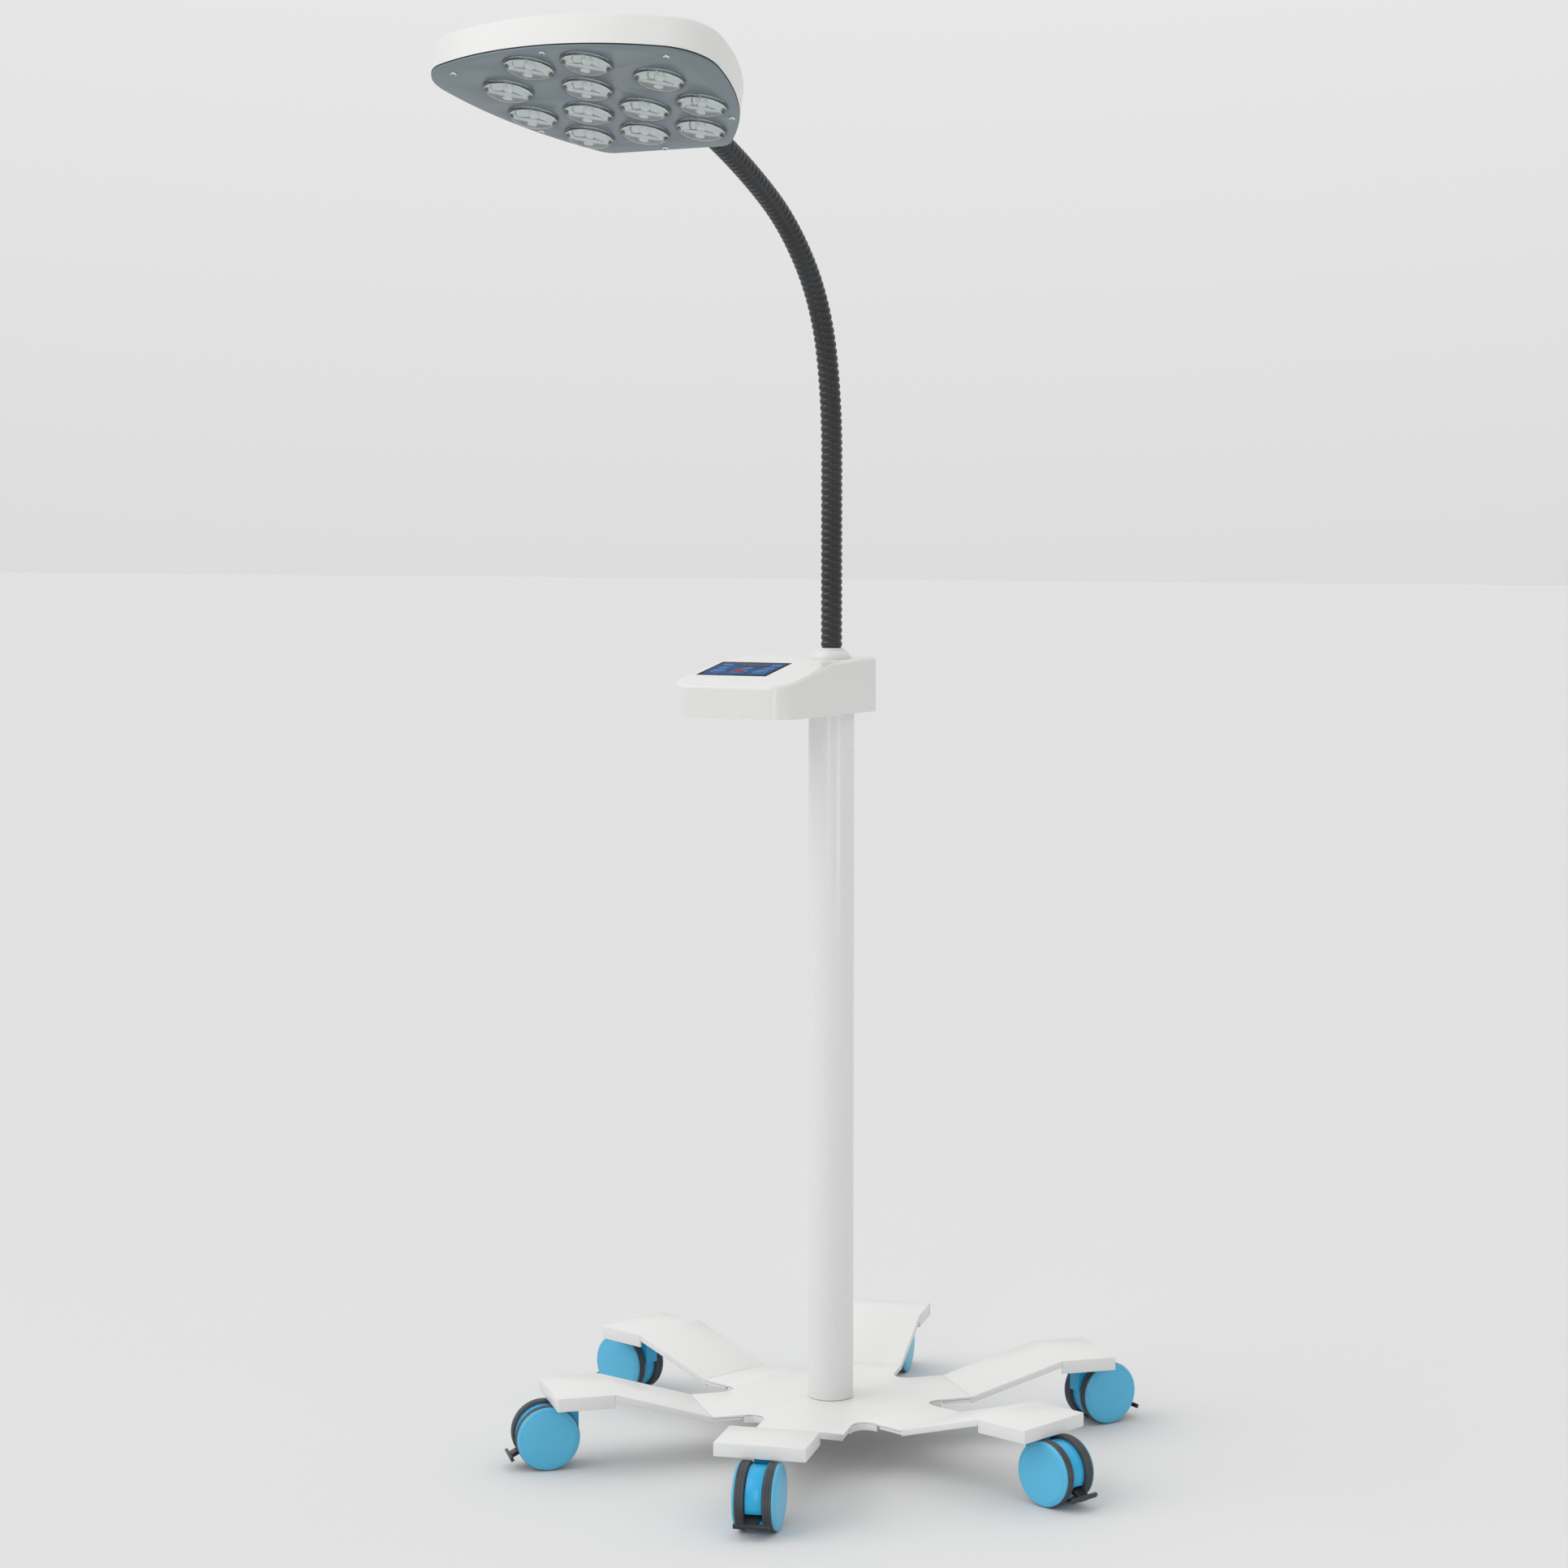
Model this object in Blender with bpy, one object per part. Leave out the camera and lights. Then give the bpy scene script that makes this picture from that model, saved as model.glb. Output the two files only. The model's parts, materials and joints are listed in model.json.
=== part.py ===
"""Mobile surgical light on a six-legged caster base.

A round pole stands on a pressed six-legged base and carries a small control box. A gooseneck rises
from the box, bends forward and holds a flat lamp head with twelve lenses. Units are metres and
degrees. +Z is up, the lamp head reaches towards -Y, and the origin lies on the floor under the
middle of the whole light.
"""

import math

import bmesh
import bpy
from mathutils import Matrix, Vector

# ---------------------------------------------------------------- clearances
GAP = 0.0003                 # between pieces that touch
RUN = 0.0004                 # radial clearance of anything that turns or slides
CUT = 0.010                  # how far a cutter runs past what it cuts

# ---------------------------------------------------------------- placing
POLE_X = 0.0
POLE_Y = 0.1234              # pole axis, so that the light's middle is over the origin
LEG_COUNT = 6
BASE_TURN = -75.5            # azimuth of the first leg

# ---------------------------------------------------------------- casters
WHEEL_D = 0.075
WHEEL_SIDES = 24             # flats round the tread; the wheel stands on one
WHEEL_W = 0.0155             # one wheel, hub cap included
HOUSING_W = 0.0195
HOUSING_R = 0.034            # fairing between the wheels
WHEEL_GAP = 0.0008           # wheel to housing, each side
AXLE_D = 0.008
CASTER_TRAIL = 0.027
STEM_D = 0.011
STEM_RADIUS = 0.322          # stem's distance from the pole axis
STEM_SOCKET_H = 0.010
STEM_SOCKET_WALL = 0.0045
BOSS_R = 0.011               # block around the stem, along the trail
SWIVEL_REST = (2.0, -3.0, 14.0, 0.0, 3.0, -2.0)
BOSS_FOOT = 7.0              # degrees above the axle's level where the boss ends
STEM_ROOT = 0.004            # stem's overlap with the boss
BOSS_CLEAR = 0.0012          # boss under the stem socket
PEDAL_W = 0.040
PEDAL_T = 0.0042
PEDAL_RIDGE = 0.0012         # raised edge of the bar
PEDAL_TONGUE_W = 0.0156
PEDAL_HEEL = 0.0045          # tongue behind its pivot
PEDAL_REACH = 0.0125         # bar beyond the wheel's tread
PEDAL_ANGLE = -28.0          # below the axle's level, seen from the side
PEDAL_PIVOT_R = 0.0272       # pivot's distance from the axle
PEDAL_NOTCH_R = 0.021        # fairing cut back to this radius round the pedal
PEDAL_NOTCH_HALF = 28.5      # degrees to each side of the pedal

# ---------------------------------------------------------------- base
SHEET = 0.003                # base sheet thickness
LEG_HALF_W = 0.0525
LEG_TIP = 0.3453             # outer face of the pad's skirt
LEG_BEND = 0.2765            # where pad meets slope
WHEEL_CLEAR = 0.0015         # skirt above the wheel
SKIRT_H = 0.016
SLOPE_LIP = 0.008
HUB_REACH = 0.160
HUB_TOP = 0.0575
HUB_FILLET = 0.018
HUB_LIP = 0.010
TAB_LENGTH = 0.034

# ---------------------------------------------------------------- pole
POLE_D = 0.054
POLE_WALL = 0.002
POLE_INTO_BOX = 0.046
FOOT_H = 0.035
FOOT_STUD_D = 0.010
FOOT_STUD_L = 0.014          # stud below the hub plate

# ---------------------------------------------------------------- control box
BOX_BOTTOM = 0.879
BOX_LEFT = 0.119             # pole axis to left wall
BOX_RIGHT = 0.038
BOX_FRONT = 0.180            # pole axis to front wall
BOX_REAR = 0.046
BOX_FRONT_H = 0.038
BOX_CREST_Y = 0.066          # crest line, in front of the pole axis
BOX_CREST_H = 0.0605
BOX_REAR_H = 0.0645
BOX_FRONT_R = 0.028
BOX_REAR_R = 0.007
BOX_WALL = 0.0028
BOX_EDGE = 0.004
KEYPAD_W = 0.092
KEYPAD_L = 0.066
KEYPAD_T = 0.0010
KEYPAD_FROM_LEFT = 0.012
KEYPAD_FROM_CREST = 0.004
BUTTON_D = 0.0124
BUTTON_PITCH = 0.028
BUTTON_PROUD = 0.0008
BUTTON_TRAVEL = 0.0005
BUTTON_FROM_FRONT = 0.021
BUTTON_FLANGE = 0.0015       # flange's width and thickness
BUTTON_ROUND = 0.0008
BOARD_T = 0.0016
BOARD_MARGIN = 0.006         # keypad's edge to board's edge
FLOOR_RISE = 0.001           # floor's underside above the cover's lower edge
MODULE_W = 0.066
MODULE_L = 0.066
MODULE_H = 0.026
MODULE_FROM_LEFT = 0.014
MODULE_FROM_POLE = 0.014     # rear end behind the pole axis
INLET_W = 0.028
INLET_H = 0.021
INLET_X = -0.070
INLET_Z = 0.030              # middle, above the cover's lower edge
INLET_DEPTH = 0.020
INLET_MOUTH = 0.014
INLET_RIM = 0.003
INLET_RIM_T = 0.0025

# ---------------------------------------------------------------- neck
NECK_D = 0.025
NECK_LINK = 0.114
NECK_BENDS = (0.0, 0.0, 13.0, 29.0, 20.0, 7.0, 5.0)   # each link's own curve
NECK_GAP = 0.0020            # between two links at their middle
NECK_MAX_TURN = 20.0         # each neck joint, either way
NECK_END_FLAT = 0.005        # radius of a link end's flat middle
COLLAR_D = 0.030
COLLAR_PROUD = 0.0115        # above the box's flat top
COLLAR_PLUG = 0.025          # down into the pole
COLLAR_RIM = 0.005           # flange on the pole's end
COLLAR_EDGE = 0.0015
CONE_DROP = 0.003            # cover's cone below the collar's top
CONE_H = 0.004
CONE_ROOT = 0.016            # cone's overlap with the cover, from the cone's top
CONE_SPREAD = 0.007          # cone's foot beyond the collar
CONE_TOP_SPREAD = 0.003

# ---------------------------------------------------------------- lamp head
LENS_PITCH = 0.068
LENS_D = 0.054
LENS_DOME = 0.0095
LENS_RIM_T = 0.0018
LENS_SEAT_D = 0.049
LENS_BACK = 0.003            # lens foot behind the face plate
LENS_SIDES = 16
LENS_ROW_PUSH = 0.131        # how far the end lenses of row -1 stand outwards, in pitches
HEAD_DEPTH = 0.037
HEAD_WALL = 0.0025
HEAD_EDGE = 0.005
HEAD_NARROW_MARGIN = 0.0505  # outermost lens row to the narrow end
HEAD_WIDE_MARGIN = 0.0415
HEAD_SIDE_MARGIN = 0.0657    # outermost lens centre to the widest side
HEAD_SIDE_Y = -0.129
HEAD_SIDE_R = 0.350
HEAD_WIDE_R = 0.365
HEAD_WIDE_CORNER = 0.052
HEAD_NARROW_CORNER = 0.024
FACE_T = 0.003
FACE_INSET = 0.0006
BOARD_INSET = 0.012
SOCKET_W = 0.044
SOCKET_L = 0.070
SOCKET_H = 0.034
SOCKET_ROUND = 0.010
SOCKET_BORE = 0.016
SOCKET_FROM_END = 0.005      # socket's rear face in from the narrow end

# ---------------------------------------------------------------- worked out from the sizes above
WHEEL_R = WHEEL_D / 2
SKIRT_BOTTOM = WHEEL_D + WHEEL_CLEAR
PAD_TOP = SKIRT_BOTTOM + SKIRT_H
HUB_BOTTOM = HUB_TOP - SHEET
POLE_BOTTOM = HUB_TOP + GAP
POLE_TOP = BOX_BOTTOM + POLE_INTO_BOX
NECK_BASE = BOX_BOTTOM + BOX_REAR_H + COLLAR_PROUD
ROW = LENS_PITCH * math.sqrt(3) / 2


# ================================================================ helpers
def clear_scene():
    """Remove every object of the open scene."""
    for item in list(bpy.data.objects):
        bpy.data.objects.remove(item, do_unlink=True)


def material(name, colour, roughness, metallic=0.0, alpha=1.0):
    """A Principled material with one colour."""
    made = bpy.data.materials.new(name)
    made.use_nodes = True
    shader = made.node_tree.nodes["Principled BSDF"]
    shader.inputs["Base Color"].default_value = (*colour, 1.0)
    shader.inputs["Roughness"].default_value = roughness
    shader.inputs["Metallic"].default_value = metallic
    shader.inputs["Alpha"].default_value = alpha
    return made


def empty(name, parent=None, place=(0, 0, 0), turn=(0, 0, 0)):
    """An empty that carries a sub-assembly; turn is in degrees about X, Y and Z."""
    made = bpy.data.objects.new(name, None)
    bpy.context.collection.objects.link(made)
    made.parent = parent
    made.location = place
    made.rotation_euler = [math.radians(angle) for angle in turn]
    return made


def mesh_from(bm, name):
    """Close off a bmesh: merge doubles, face outwards, write a mesh."""
    bmesh.ops.remove_doubles(bm, verts=bm.verts, dist=1e-6)
    bmesh.ops.recalc_face_normals(bm, faces=bm.faces)
    made = bpy.data.meshes.new(name)
    bm.to_mesh(made)
    bm.free()
    return made


def place(name, mesh, look, parent=None, at=(0, 0, 0), turn=(0, 0, 0), smooth=True):
    """Put a mesh into the scene as one named sub-part."""
    made = bpy.data.objects.new(name, mesh)
    bpy.context.collection.objects.link(made)
    made.parent = parent
    made.location = at
    made.rotation_euler = [math.radians(angle) for angle in turn]
    if not mesh.materials:
        mesh.materials.append(look)
    if smooth:
        mesh.shade_smooth()
        mesh.set_sharp_from_angle(angle=math.radians(32))
    return made


def loft(rings, name):
    """A closed body through rings of points; a ring of one point is a pole."""
    bm = bmesh.new()
    made = [[bm.verts.new(point) for point in ring] for ring in rings]
    for low, high in zip(made, made[1:]):
        count = max(len(low), len(high))
        for i in range(count):
            j = (i + 1) % count
            corners = [low[i % len(low)], low[j % len(low)], high[j % len(high)], high[i % len(high)]]
            unique = list(dict.fromkeys(corners))
            bm.faces.new(unique)
    for end in (made[0], made[-1]):
        if len(end) > 2:
            bm.faces.new(end)
    return mesh_from(bm, name)


def circle(radius, height, segments, phase=0.0):
    """Points of a level circle."""
    step = 2 * math.pi / segments
    return [
        Vector((radius * math.cos(phase + i * step), radius * math.sin(phase + i * step), height))
        for i in range(segments)
    ]


def turned(profile, segments, name, hollow=False, phase=0.0):
    """A body turned about Z from (radius, height) pairs; a hollow one closes on itself."""
    rings = [
        [Vector((0, 0, height))] if radius == 0 else circle(radius, height, segments, phase)
        for radius, height in profile
    ]
    if not hollow:
        return loft(rings, name)
    bm = bmesh.new()
    made = [[bm.verts.new(point) for point in ring] for ring in rings]
    for low, high in zip(made, made[1:] + made[:1]):
        for i in range(segments):
            j = (i + 1) % segments
            bm.faces.new((low[i], low[j], high[j], high[i]))
    return mesh_from(bm, name)


def prism(outline, low, high, name):
    """An outline in XY, extruded from one height to another."""
    return loft([[Vector((x, y, low)) for x, y in outline], [Vector((x, y, high)) for x, y in outline]], name)


def plug(radius, low, high, segments, name):
    """A plain round bar, for cutting a bore or for joining on."""
    return prism([(point.x, point.y) for point in circle(radius, 0, segments)], low, high, name)


def block(x0, x1, y0, y1, z0, z1, name):
    """A rectangular block between two corners."""
    return prism(((x0, y0), (x1, y0), (x1, y1), (x0, y1)), z0, z1, name)


def moved(mesh, matrix):
    """The same mesh, carried by a matrix."""
    mesh.transform(matrix)
    return mesh


def combine(body, tools, operation):
    """Cut, join or intersect a mesh with others, exactly, and give back the one mesh."""
    base = bpy.data.objects.new("work", body)
    bpy.context.collection.objects.link(base)
    helpers = []
    for tool in tools:
        helper = bpy.data.objects.new("tool", tool)
        helper.hide_render = True
        helper.display_type = "WIRE"
        bpy.context.collection.objects.link(helper)
        helpers.append(helper)
        step = base.modifiers.new("combine", "BOOLEAN")
        step.operation = operation
        step.solver = "EXACT"
        step.object = helper
    bpy.context.view_layer.update()
    graph = bpy.context.evaluated_depsgraph_get()
    made = bpy.data.meshes.new_from_object(base.evaluated_get(graph))
    for item in [base, *helpers]:
        bpy.data.objects.remove(item, do_unlink=True)
    made.materials.clear()
    bm = bmesh.new()
    bm.from_mesh(made)
    bmesh.ops.remove_doubles(bm, verts=bm.verts, dist=2e-6)
    bmesh.ops.dissolve_limit(bm, angle_limit=math.radians(0.05), verts=bm.verts, edges=bm.edges)
    bm.to_mesh(made)
    bm.free()
    return made


def arc(centre, radius, start, end, count):
    """Points of an arc in XY, both ends included; angles in radians."""
    return [
        (centre[0] + radius * math.cos(start + (end - start) * i / count),
         centre[1] + radius * math.sin(start + (end - start) * i / count))
        for i in range(count + 1)
    ]


# ================================================================ base
def notch_centre_distance():
    """How far from the pole axis the round of each notch between two legs is centred."""
    return (LEG_HALF_W + HUB_FILLET) / math.sin(math.pi / LEG_COUNT)


def hub_plate(parent, look):
    """The flat star that the six legs bolt under, with lips round its notches."""
    step = 2 * math.pi / LEG_COUNT
    spread = math.pi / 2 - step / 2
    outline, lips = [], []
    for k in range(LEG_COUNT):
        turn = math.radians(BASE_TURN) + k * step
        for side in (-LEG_HALF_W, LEG_HALF_W):
            outline.append((HUB_REACH * math.cos(turn) - side * math.sin(turn),
                            HUB_REACH * math.sin(turn) + side * math.cos(turn)))
        middle = turn + step / 2
        centre = (notch_centre_distance() * math.cos(middle), notch_centre_distance() * math.sin(middle))
        ends = (middle + math.pi + spread, middle + math.pi - spread)
        outline += arc(centre, HUB_FILLET, *ends, 6)
        lip = arc(centre, HUB_FILLET, *ends, 6) + arc(centre, HUB_FILLET + SHEET, ends[1], ends[0], 6)
        lips.append(prism(lip, HUB_TOP - HUB_LIP, HUB_TOP - SHEET / 2, "lip"))
    plate = prism(outline, HUB_BOTTOM, HUB_TOP, "hub_plate")
    bore = plug(FOOT_STUD_D / 2 + RUN, 0, 1, 16, "bore")
    made = combine(combine(plate, lips, "UNION"), [bore], "DIFFERENCE")
    place("hub_plate", made, look, parent, smooth=False)


def leg_mesh():
    """One leg lying along +X: tab under the hub, joggle, slope with lips, pad with skirts."""
    tab_top = HUB_BOTTOM - GAP
    fold = HUB_REACH + GAP
    notch_end = notch_centre_distance() * math.cos(math.pi / LEG_COUNT)
    tab_start = max(fold - TAB_LENGTH, notch_end + SHEET)
    rise = (PAD_TOP - HUB_TOP) / (LEG_BEND - fold)
    drop = SHEET * math.sqrt(1 + rise ** 2)
    section = [
        (fold, HUB_TOP), (LEG_BEND, PAD_TOP), (LEG_TIP, PAD_TOP), (LEG_TIP, SKIRT_BOTTOM),
        (LEG_TIP - SHEET, SKIRT_BOTTOM), (LEG_TIP - SHEET, PAD_TOP - SHEET),
        (LEG_BEND + (drop - SHEET) / rise, PAD_TOP - SHEET), (fold + SHEET, HUB_TOP + rise * SHEET - drop),
        (fold + SHEET, tab_top - SHEET), (tab_start, tab_top - SHEET), (tab_start, tab_top), (fold, tab_top),
    ]
    side = [
        (fold, HUB_TOP), (LEG_BEND, PAD_TOP), (LEG_TIP, PAD_TOP), (LEG_TIP, SKIRT_BOTTOM),
        (LEG_BEND, SKIRT_BOTTOM), (LEG_BEND, PAD_TOP - SLOPE_LIP), (fold, HUB_TOP - SLOPE_LIP),
    ]

    def across(points, low, high, name):
        return loft([[Vector((x, y, z)) for x, z in points] for y in (low, high)], name)

    sheet = across(section, -LEG_HALF_W, LEG_HALF_W, "leg")
    sides = [
        across(side, -LEG_HALF_W, -LEG_HALF_W + SHEET, "side"),
        across(side, LEG_HALF_W - SHEET, LEG_HALF_W, "side"),
    ]
    inner = STEM_D / 2 + RUN
    underside = PAD_TOP - SHEET
    ring = turned(
        ((inner, underside - STEM_SOCKET_H), (inner + STEM_SOCKET_WALL, underside - STEM_SOCKET_H),
         (inner + STEM_SOCKET_WALL, underside + SHEET / 2), (inner, underside + SHEET / 2)),
        12, "stem_socket", hollow=True)
    moved(ring, Matrix.Translation((STEM_RADIUS, 0, 0)))
    return combine(sheet, [*sides, ring], "UNION")


def pole_and_foot(parent, white, steel):
    """The pole tube and the plug that bolts it down through the hub."""
    outer, inner = POLE_D / 2, POLE_D / 2 - POLE_WALL
    tube = turned(((inner, POLE_BOTTOM), (outer, POLE_BOTTOM), (outer, POLE_TOP), (inner, POLE_TOP)),
                  32, "pole", hollow=True)
    place("pole", tube, white, parent)
    body, stud = inner - GAP, FOOT_STUD_D / 2
    foot = turned(((0, HUB_BOTTOM - FOOT_STUD_L), (stud, HUB_BOTTOM - FOOT_STUD_L), (stud, POLE_BOTTOM),
                   (body, POLE_BOTTOM), (body, POLE_BOTTOM + FOOT_H), (0, POLE_BOTTOM + FOOT_H)),
                  24, "pole_foot_plug")
    place("pole_foot_plug", foot, steel, parent)


# ================================================================ casters
def side_body(radius_at, half_width, bore, samples, name):
    """A plate across Y whose edge is a radius for each angle about a round bore."""
    loops = []
    for y in (-half_width, half_width):
        edge, hole = [], []
        for i in range(samples):
            angle = 2 * math.pi * i / samples
            reach = radius_at(angle)
            edge.append(Vector((reach * math.cos(angle), y, reach * math.sin(angle))))
            hole.append(Vector((bore * math.cos(angle), y, bore * math.sin(angle))))
        loops.append((edge, hole))
    order = [loops[0][1], loops[0][0], loops[1][0], loops[1][1]]
    bm = bmesh.new()
    made = [[bm.verts.new(point) for point in ring] for ring in order]
    for low, high in zip(made, made[1:] + made[:1]):
        for i in range(samples):
            j = (i + 1) % samples
            bm.faces.new((low[i], low[j], high[j], high[i]))
    return mesh_from(bm, name)


def housing_mesh():
    """Fairing between the wheels with its stem; origin on the swivel axis at floor level."""
    boss_top = PAD_TOP - SHEET - STEM_SOCKET_H - BOSS_CLEAR - WHEEL_R
    boss_far = CASTER_TRAIL + BOSS_R
    boss_near = CASTER_TRAIL - BOSS_R
    near_angle = math.atan2(boss_top, -boss_near)
    far_angle = math.pi - math.radians(BOSS_FOOT)

    def radius_at(angle):
        if near_angle <= angle <= far_angle:
            return min(boss_far / -math.cos(angle), boss_top / math.sin(angle))
        if abs(math.degrees(angle) - 360 - PEDAL_ANGLE) < PEDAL_NOTCH_HALF:
            return PEDAL_NOTCH_R
        return HOUSING_R

    plate = side_body(radius_at, HOUSING_W / 2, AXLE_D / 2 + RUN, 40, "housing_plate")
    moved(plate, Matrix.Translation((CASTER_TRAIL, 0, WHEEL_R)))
    stem_top = PAD_TOP - SHEET - 2 * GAP
    stem_low = WHEEL_R + boss_top - STEM_ROOT
    stem = plug(STEM_D / 2, stem_low, stem_top, 16, "stem")
    return combine(plate, [stem], "UNION")


def wheelset_mesh():
    """Both wheels on their axle, turning about Y; origin at the axle's middle."""
    inner = HOUSING_W / 2 + WHEEL_GAP
    outer = inner + WHEEL_W
    half_side = math.pi / WHEEL_SIDES
    tread = WHEEL_R / math.cos(half_side)
    half = (
        (0, outer), (0.55 * WHEEL_R, outer - 0.0006), (0.93 * WHEEL_R, outer - 0.0026),
        (tread, outer - 0.0042), (tread, inner + 0.0010), (0.97 * WHEEL_R, inner), (AXLE_D / 2, inner),
    )
    profile = list(half) + [(radius, -height) for radius, height in reversed(half)]
    wheels = turned(profile, WHEEL_SIDES, "wheelset", phase=half_side)
    return moved(wheels, Matrix.Rotation(math.radians(90), 4, "X"))


def pedal_points():
    """Pivot and bar of the brake pedal, from the axle, in the caster's own XZ plane."""
    tilt = math.radians(PEDAL_ANGLE)
    direction = Vector((math.cos(tilt), 0, math.sin(tilt)))
    pivot = direction * PEDAL_PIVOT_R
    bar = direction * (WHEEL_R + PEDAL_REACH - PEDAL_T)
    return pivot, bar


def pedal_mesh():
    """Brake pedal: a tongue between the wheels and a wide bar outside them; origin on its pivot."""
    pivot, bar = pedal_points()
    length = (bar - pivot).length
    half_w, half_t = PEDAL_TONGUE_W / 2, PEDAL_T / 2
    tongue = block(-PEDAL_HEEL, length, -half_w, half_w, -half_t, half_t, "tongue")
    pad = block(length - PEDAL_T, length + PEDAL_T, -PEDAL_W / 2, PEDAL_W / 2,
                -half_t, half_t + PEDAL_RIDGE, "bar")
    made = combine(tongue, [pad], "UNION")
    return moved(made, Matrix.Rotation(math.radians(-PEDAL_ANGLE), 4, "Y"))


def casters(parent, looks):
    """Six swivelling twin-wheel casters with brakes."""
    housing, wheelset, pedal = housing_mesh(), wheelset_mesh(), pedal_mesh()
    pivot, _ = pedal_points()
    for k in range(LEG_COUNT):
        azimuth = math.radians(BASE_TURN + k * 360 / LEG_COUNT)
        swivel = empty(f"swivel_{k + 1}", parent,
                       (STEM_RADIUS * math.cos(azimuth), STEM_RADIUS * math.sin(azimuth), 0),
                       (0, 0, math.degrees(azimuth) + SWIVEL_REST[k]))
        place(f"caster_{k + 1}_housing", housing, looks["housing"], swivel)
        axle = empty(f"axle_{k + 1}", swivel, (CASTER_TRAIL, 0, WHEEL_R))
        place(f"caster_{k + 1}_wheelset", wheelset, looks["wheel"], axle)
        place(f"caster_{k + 1}_brake_pedal", pedal, looks["pedal"], axle, pivot, smooth=False)


# ================================================================ control box
def box_outline(inset):
    """Plan of the box, round at the front corners."""
    left, right = -BOX_LEFT + inset, BOX_RIGHT - inset
    front, rear = -BOX_FRONT + inset, BOX_REAR - inset
    front_r, rear_r = BOX_FRONT_R - inset, BOX_REAR_R - inset
    quarter = math.pi / 2
    points = arc((left + front_r, front + front_r), front_r, 2 * quarter, 3 * quarter, 6)
    points += arc((right - front_r, front + front_r), front_r, 3 * quarter, 4 * quarter, 6)
    points += arc((right - rear_r, rear - rear_r), rear_r, 0, quarter, 3)
    points += arc((left + rear_r, rear - rear_r), rear_r, quarter, 2 * quarter, 3)
    return points


def slope_angle():
    """Rise of the sloping panel, in radians."""
    return math.atan2(BOX_CREST_H - BOX_FRONT_H, BOX_FRONT - BOX_CREST_Y)


def box_solid(inset, low, name):
    """The box's outer form, or its hollow when inset by the wall."""
    tilt = slope_angle()
    rear_tilt = math.atan2(BOX_REAR_H - BOX_CREST_H, BOX_CREST_Y + BOX_REAR)
    front, crest, rear = (
        (-BOX_FRONT - 0.01, BOX_FRONT_H - 0.01 * math.tan(tilt) - inset / math.cos(tilt)),
        (-BOX_CREST_Y, BOX_CREST_H - inset / math.cos((tilt + rear_tilt) / 2)),
        (BOX_REAR + 0.01, BOX_REAR_H + 0.01 * math.tan(rear_tilt) - inset / math.cos(rear_tilt)),
    )
    side = [(front[0], low), (rear[0], low), rear, crest, front]
    wide = max(BOX_LEFT, BOX_RIGHT) + 0.02
    profile = loft([[Vector((x, y, BOX_BOTTOM + z)) for y, z in side] for x in (-wide, wide)], "profile")
    tower = prism(box_outline(inset), BOX_BOTTOM + low, BOX_BOTTOM + BOX_REAR_H + 0.02, name)
    return combine(profile, [tower], "INTERSECT")


def soften_top(mesh, size):
    """Bevel the edge between the top faces and the upright walls."""
    bm = bmesh.new()
    bm.from_mesh(mesh)
    bm.normal_update()
    edges = [
        edge for edge in bm.edges
        if len(edge.link_faces) == 2
        and sorted(abs(face.normal.z) > 0.5 for face in edge.link_faces) == [False, True]
        and max(face.normal.z for face in edge.link_faces) > 0.5
    ]
    bmesh.ops.bevel(bm, geom=edges, offset=size, segments=2, profile=0.5, affect="EDGES", clamp_overlap=True)
    bm.to_mesh(mesh)
    bm.free()
    return mesh


def panel_frame(parent):
    """An empty in the middle of the keypad, on the sloping panel, with Z out of the panel."""
    tilt = slope_angle()
    along = KEYPAD_FROM_CREST + KEYPAD_L / 2
    y = -BOX_CREST_Y - along * math.cos(tilt)
    z = BOX_BOTTOM + BOX_CREST_H - along * math.sin(tilt)
    x = -BOX_LEFT + KEYPAD_FROM_LEFT + KEYPAD_W / 2
    return empty("panel", parent, (x, y, z), (math.degrees(tilt), 0, 0))


def button_places():
    """Centres of the three buttons on the panel: dimmer, power, brighter."""
    y = -KEYPAD_L / 2 + BUTTON_FROM_FRONT
    return {"dim_button": (-BUTTON_PITCH, y), "power_button": (0.0, y), "bright_button": (BUTTON_PITCH, y)}


def button_bores(frame):
    """Cutters for the three buttons, carried from the panel's own frame by a matrix."""
    return [
        moved(plug(BUTTON_D / 2 + RUN, -CUT, CUT, 16, "button_bore"), frame @ Matrix.Translation((x, y, 0)))
        for x, y in button_places().values()
    ]


def keypad_block(margin, low, high, name):
    """A block of the keypad's plan, wider or narrower by a margin, in the panel's own frame."""
    half_w, half_l = KEYPAD_W / 2 + margin, KEYPAD_L / 2 + margin
    return block(-half_w, half_w, -half_l, half_l, low, high, name)


def inlet_block(margin, rear, front, name):
    """A block of the inlet's section, wider by a margin, between two distances behind the pole axis."""
    half_w, half_h, middle = INLET_W / 2 + margin, INLET_H / 2 + margin, BOX_BOTTOM + INLET_Z
    return block(INLET_X - half_w, INLET_X + half_w, rear, front, middle - half_h, middle + half_h, name)


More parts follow.
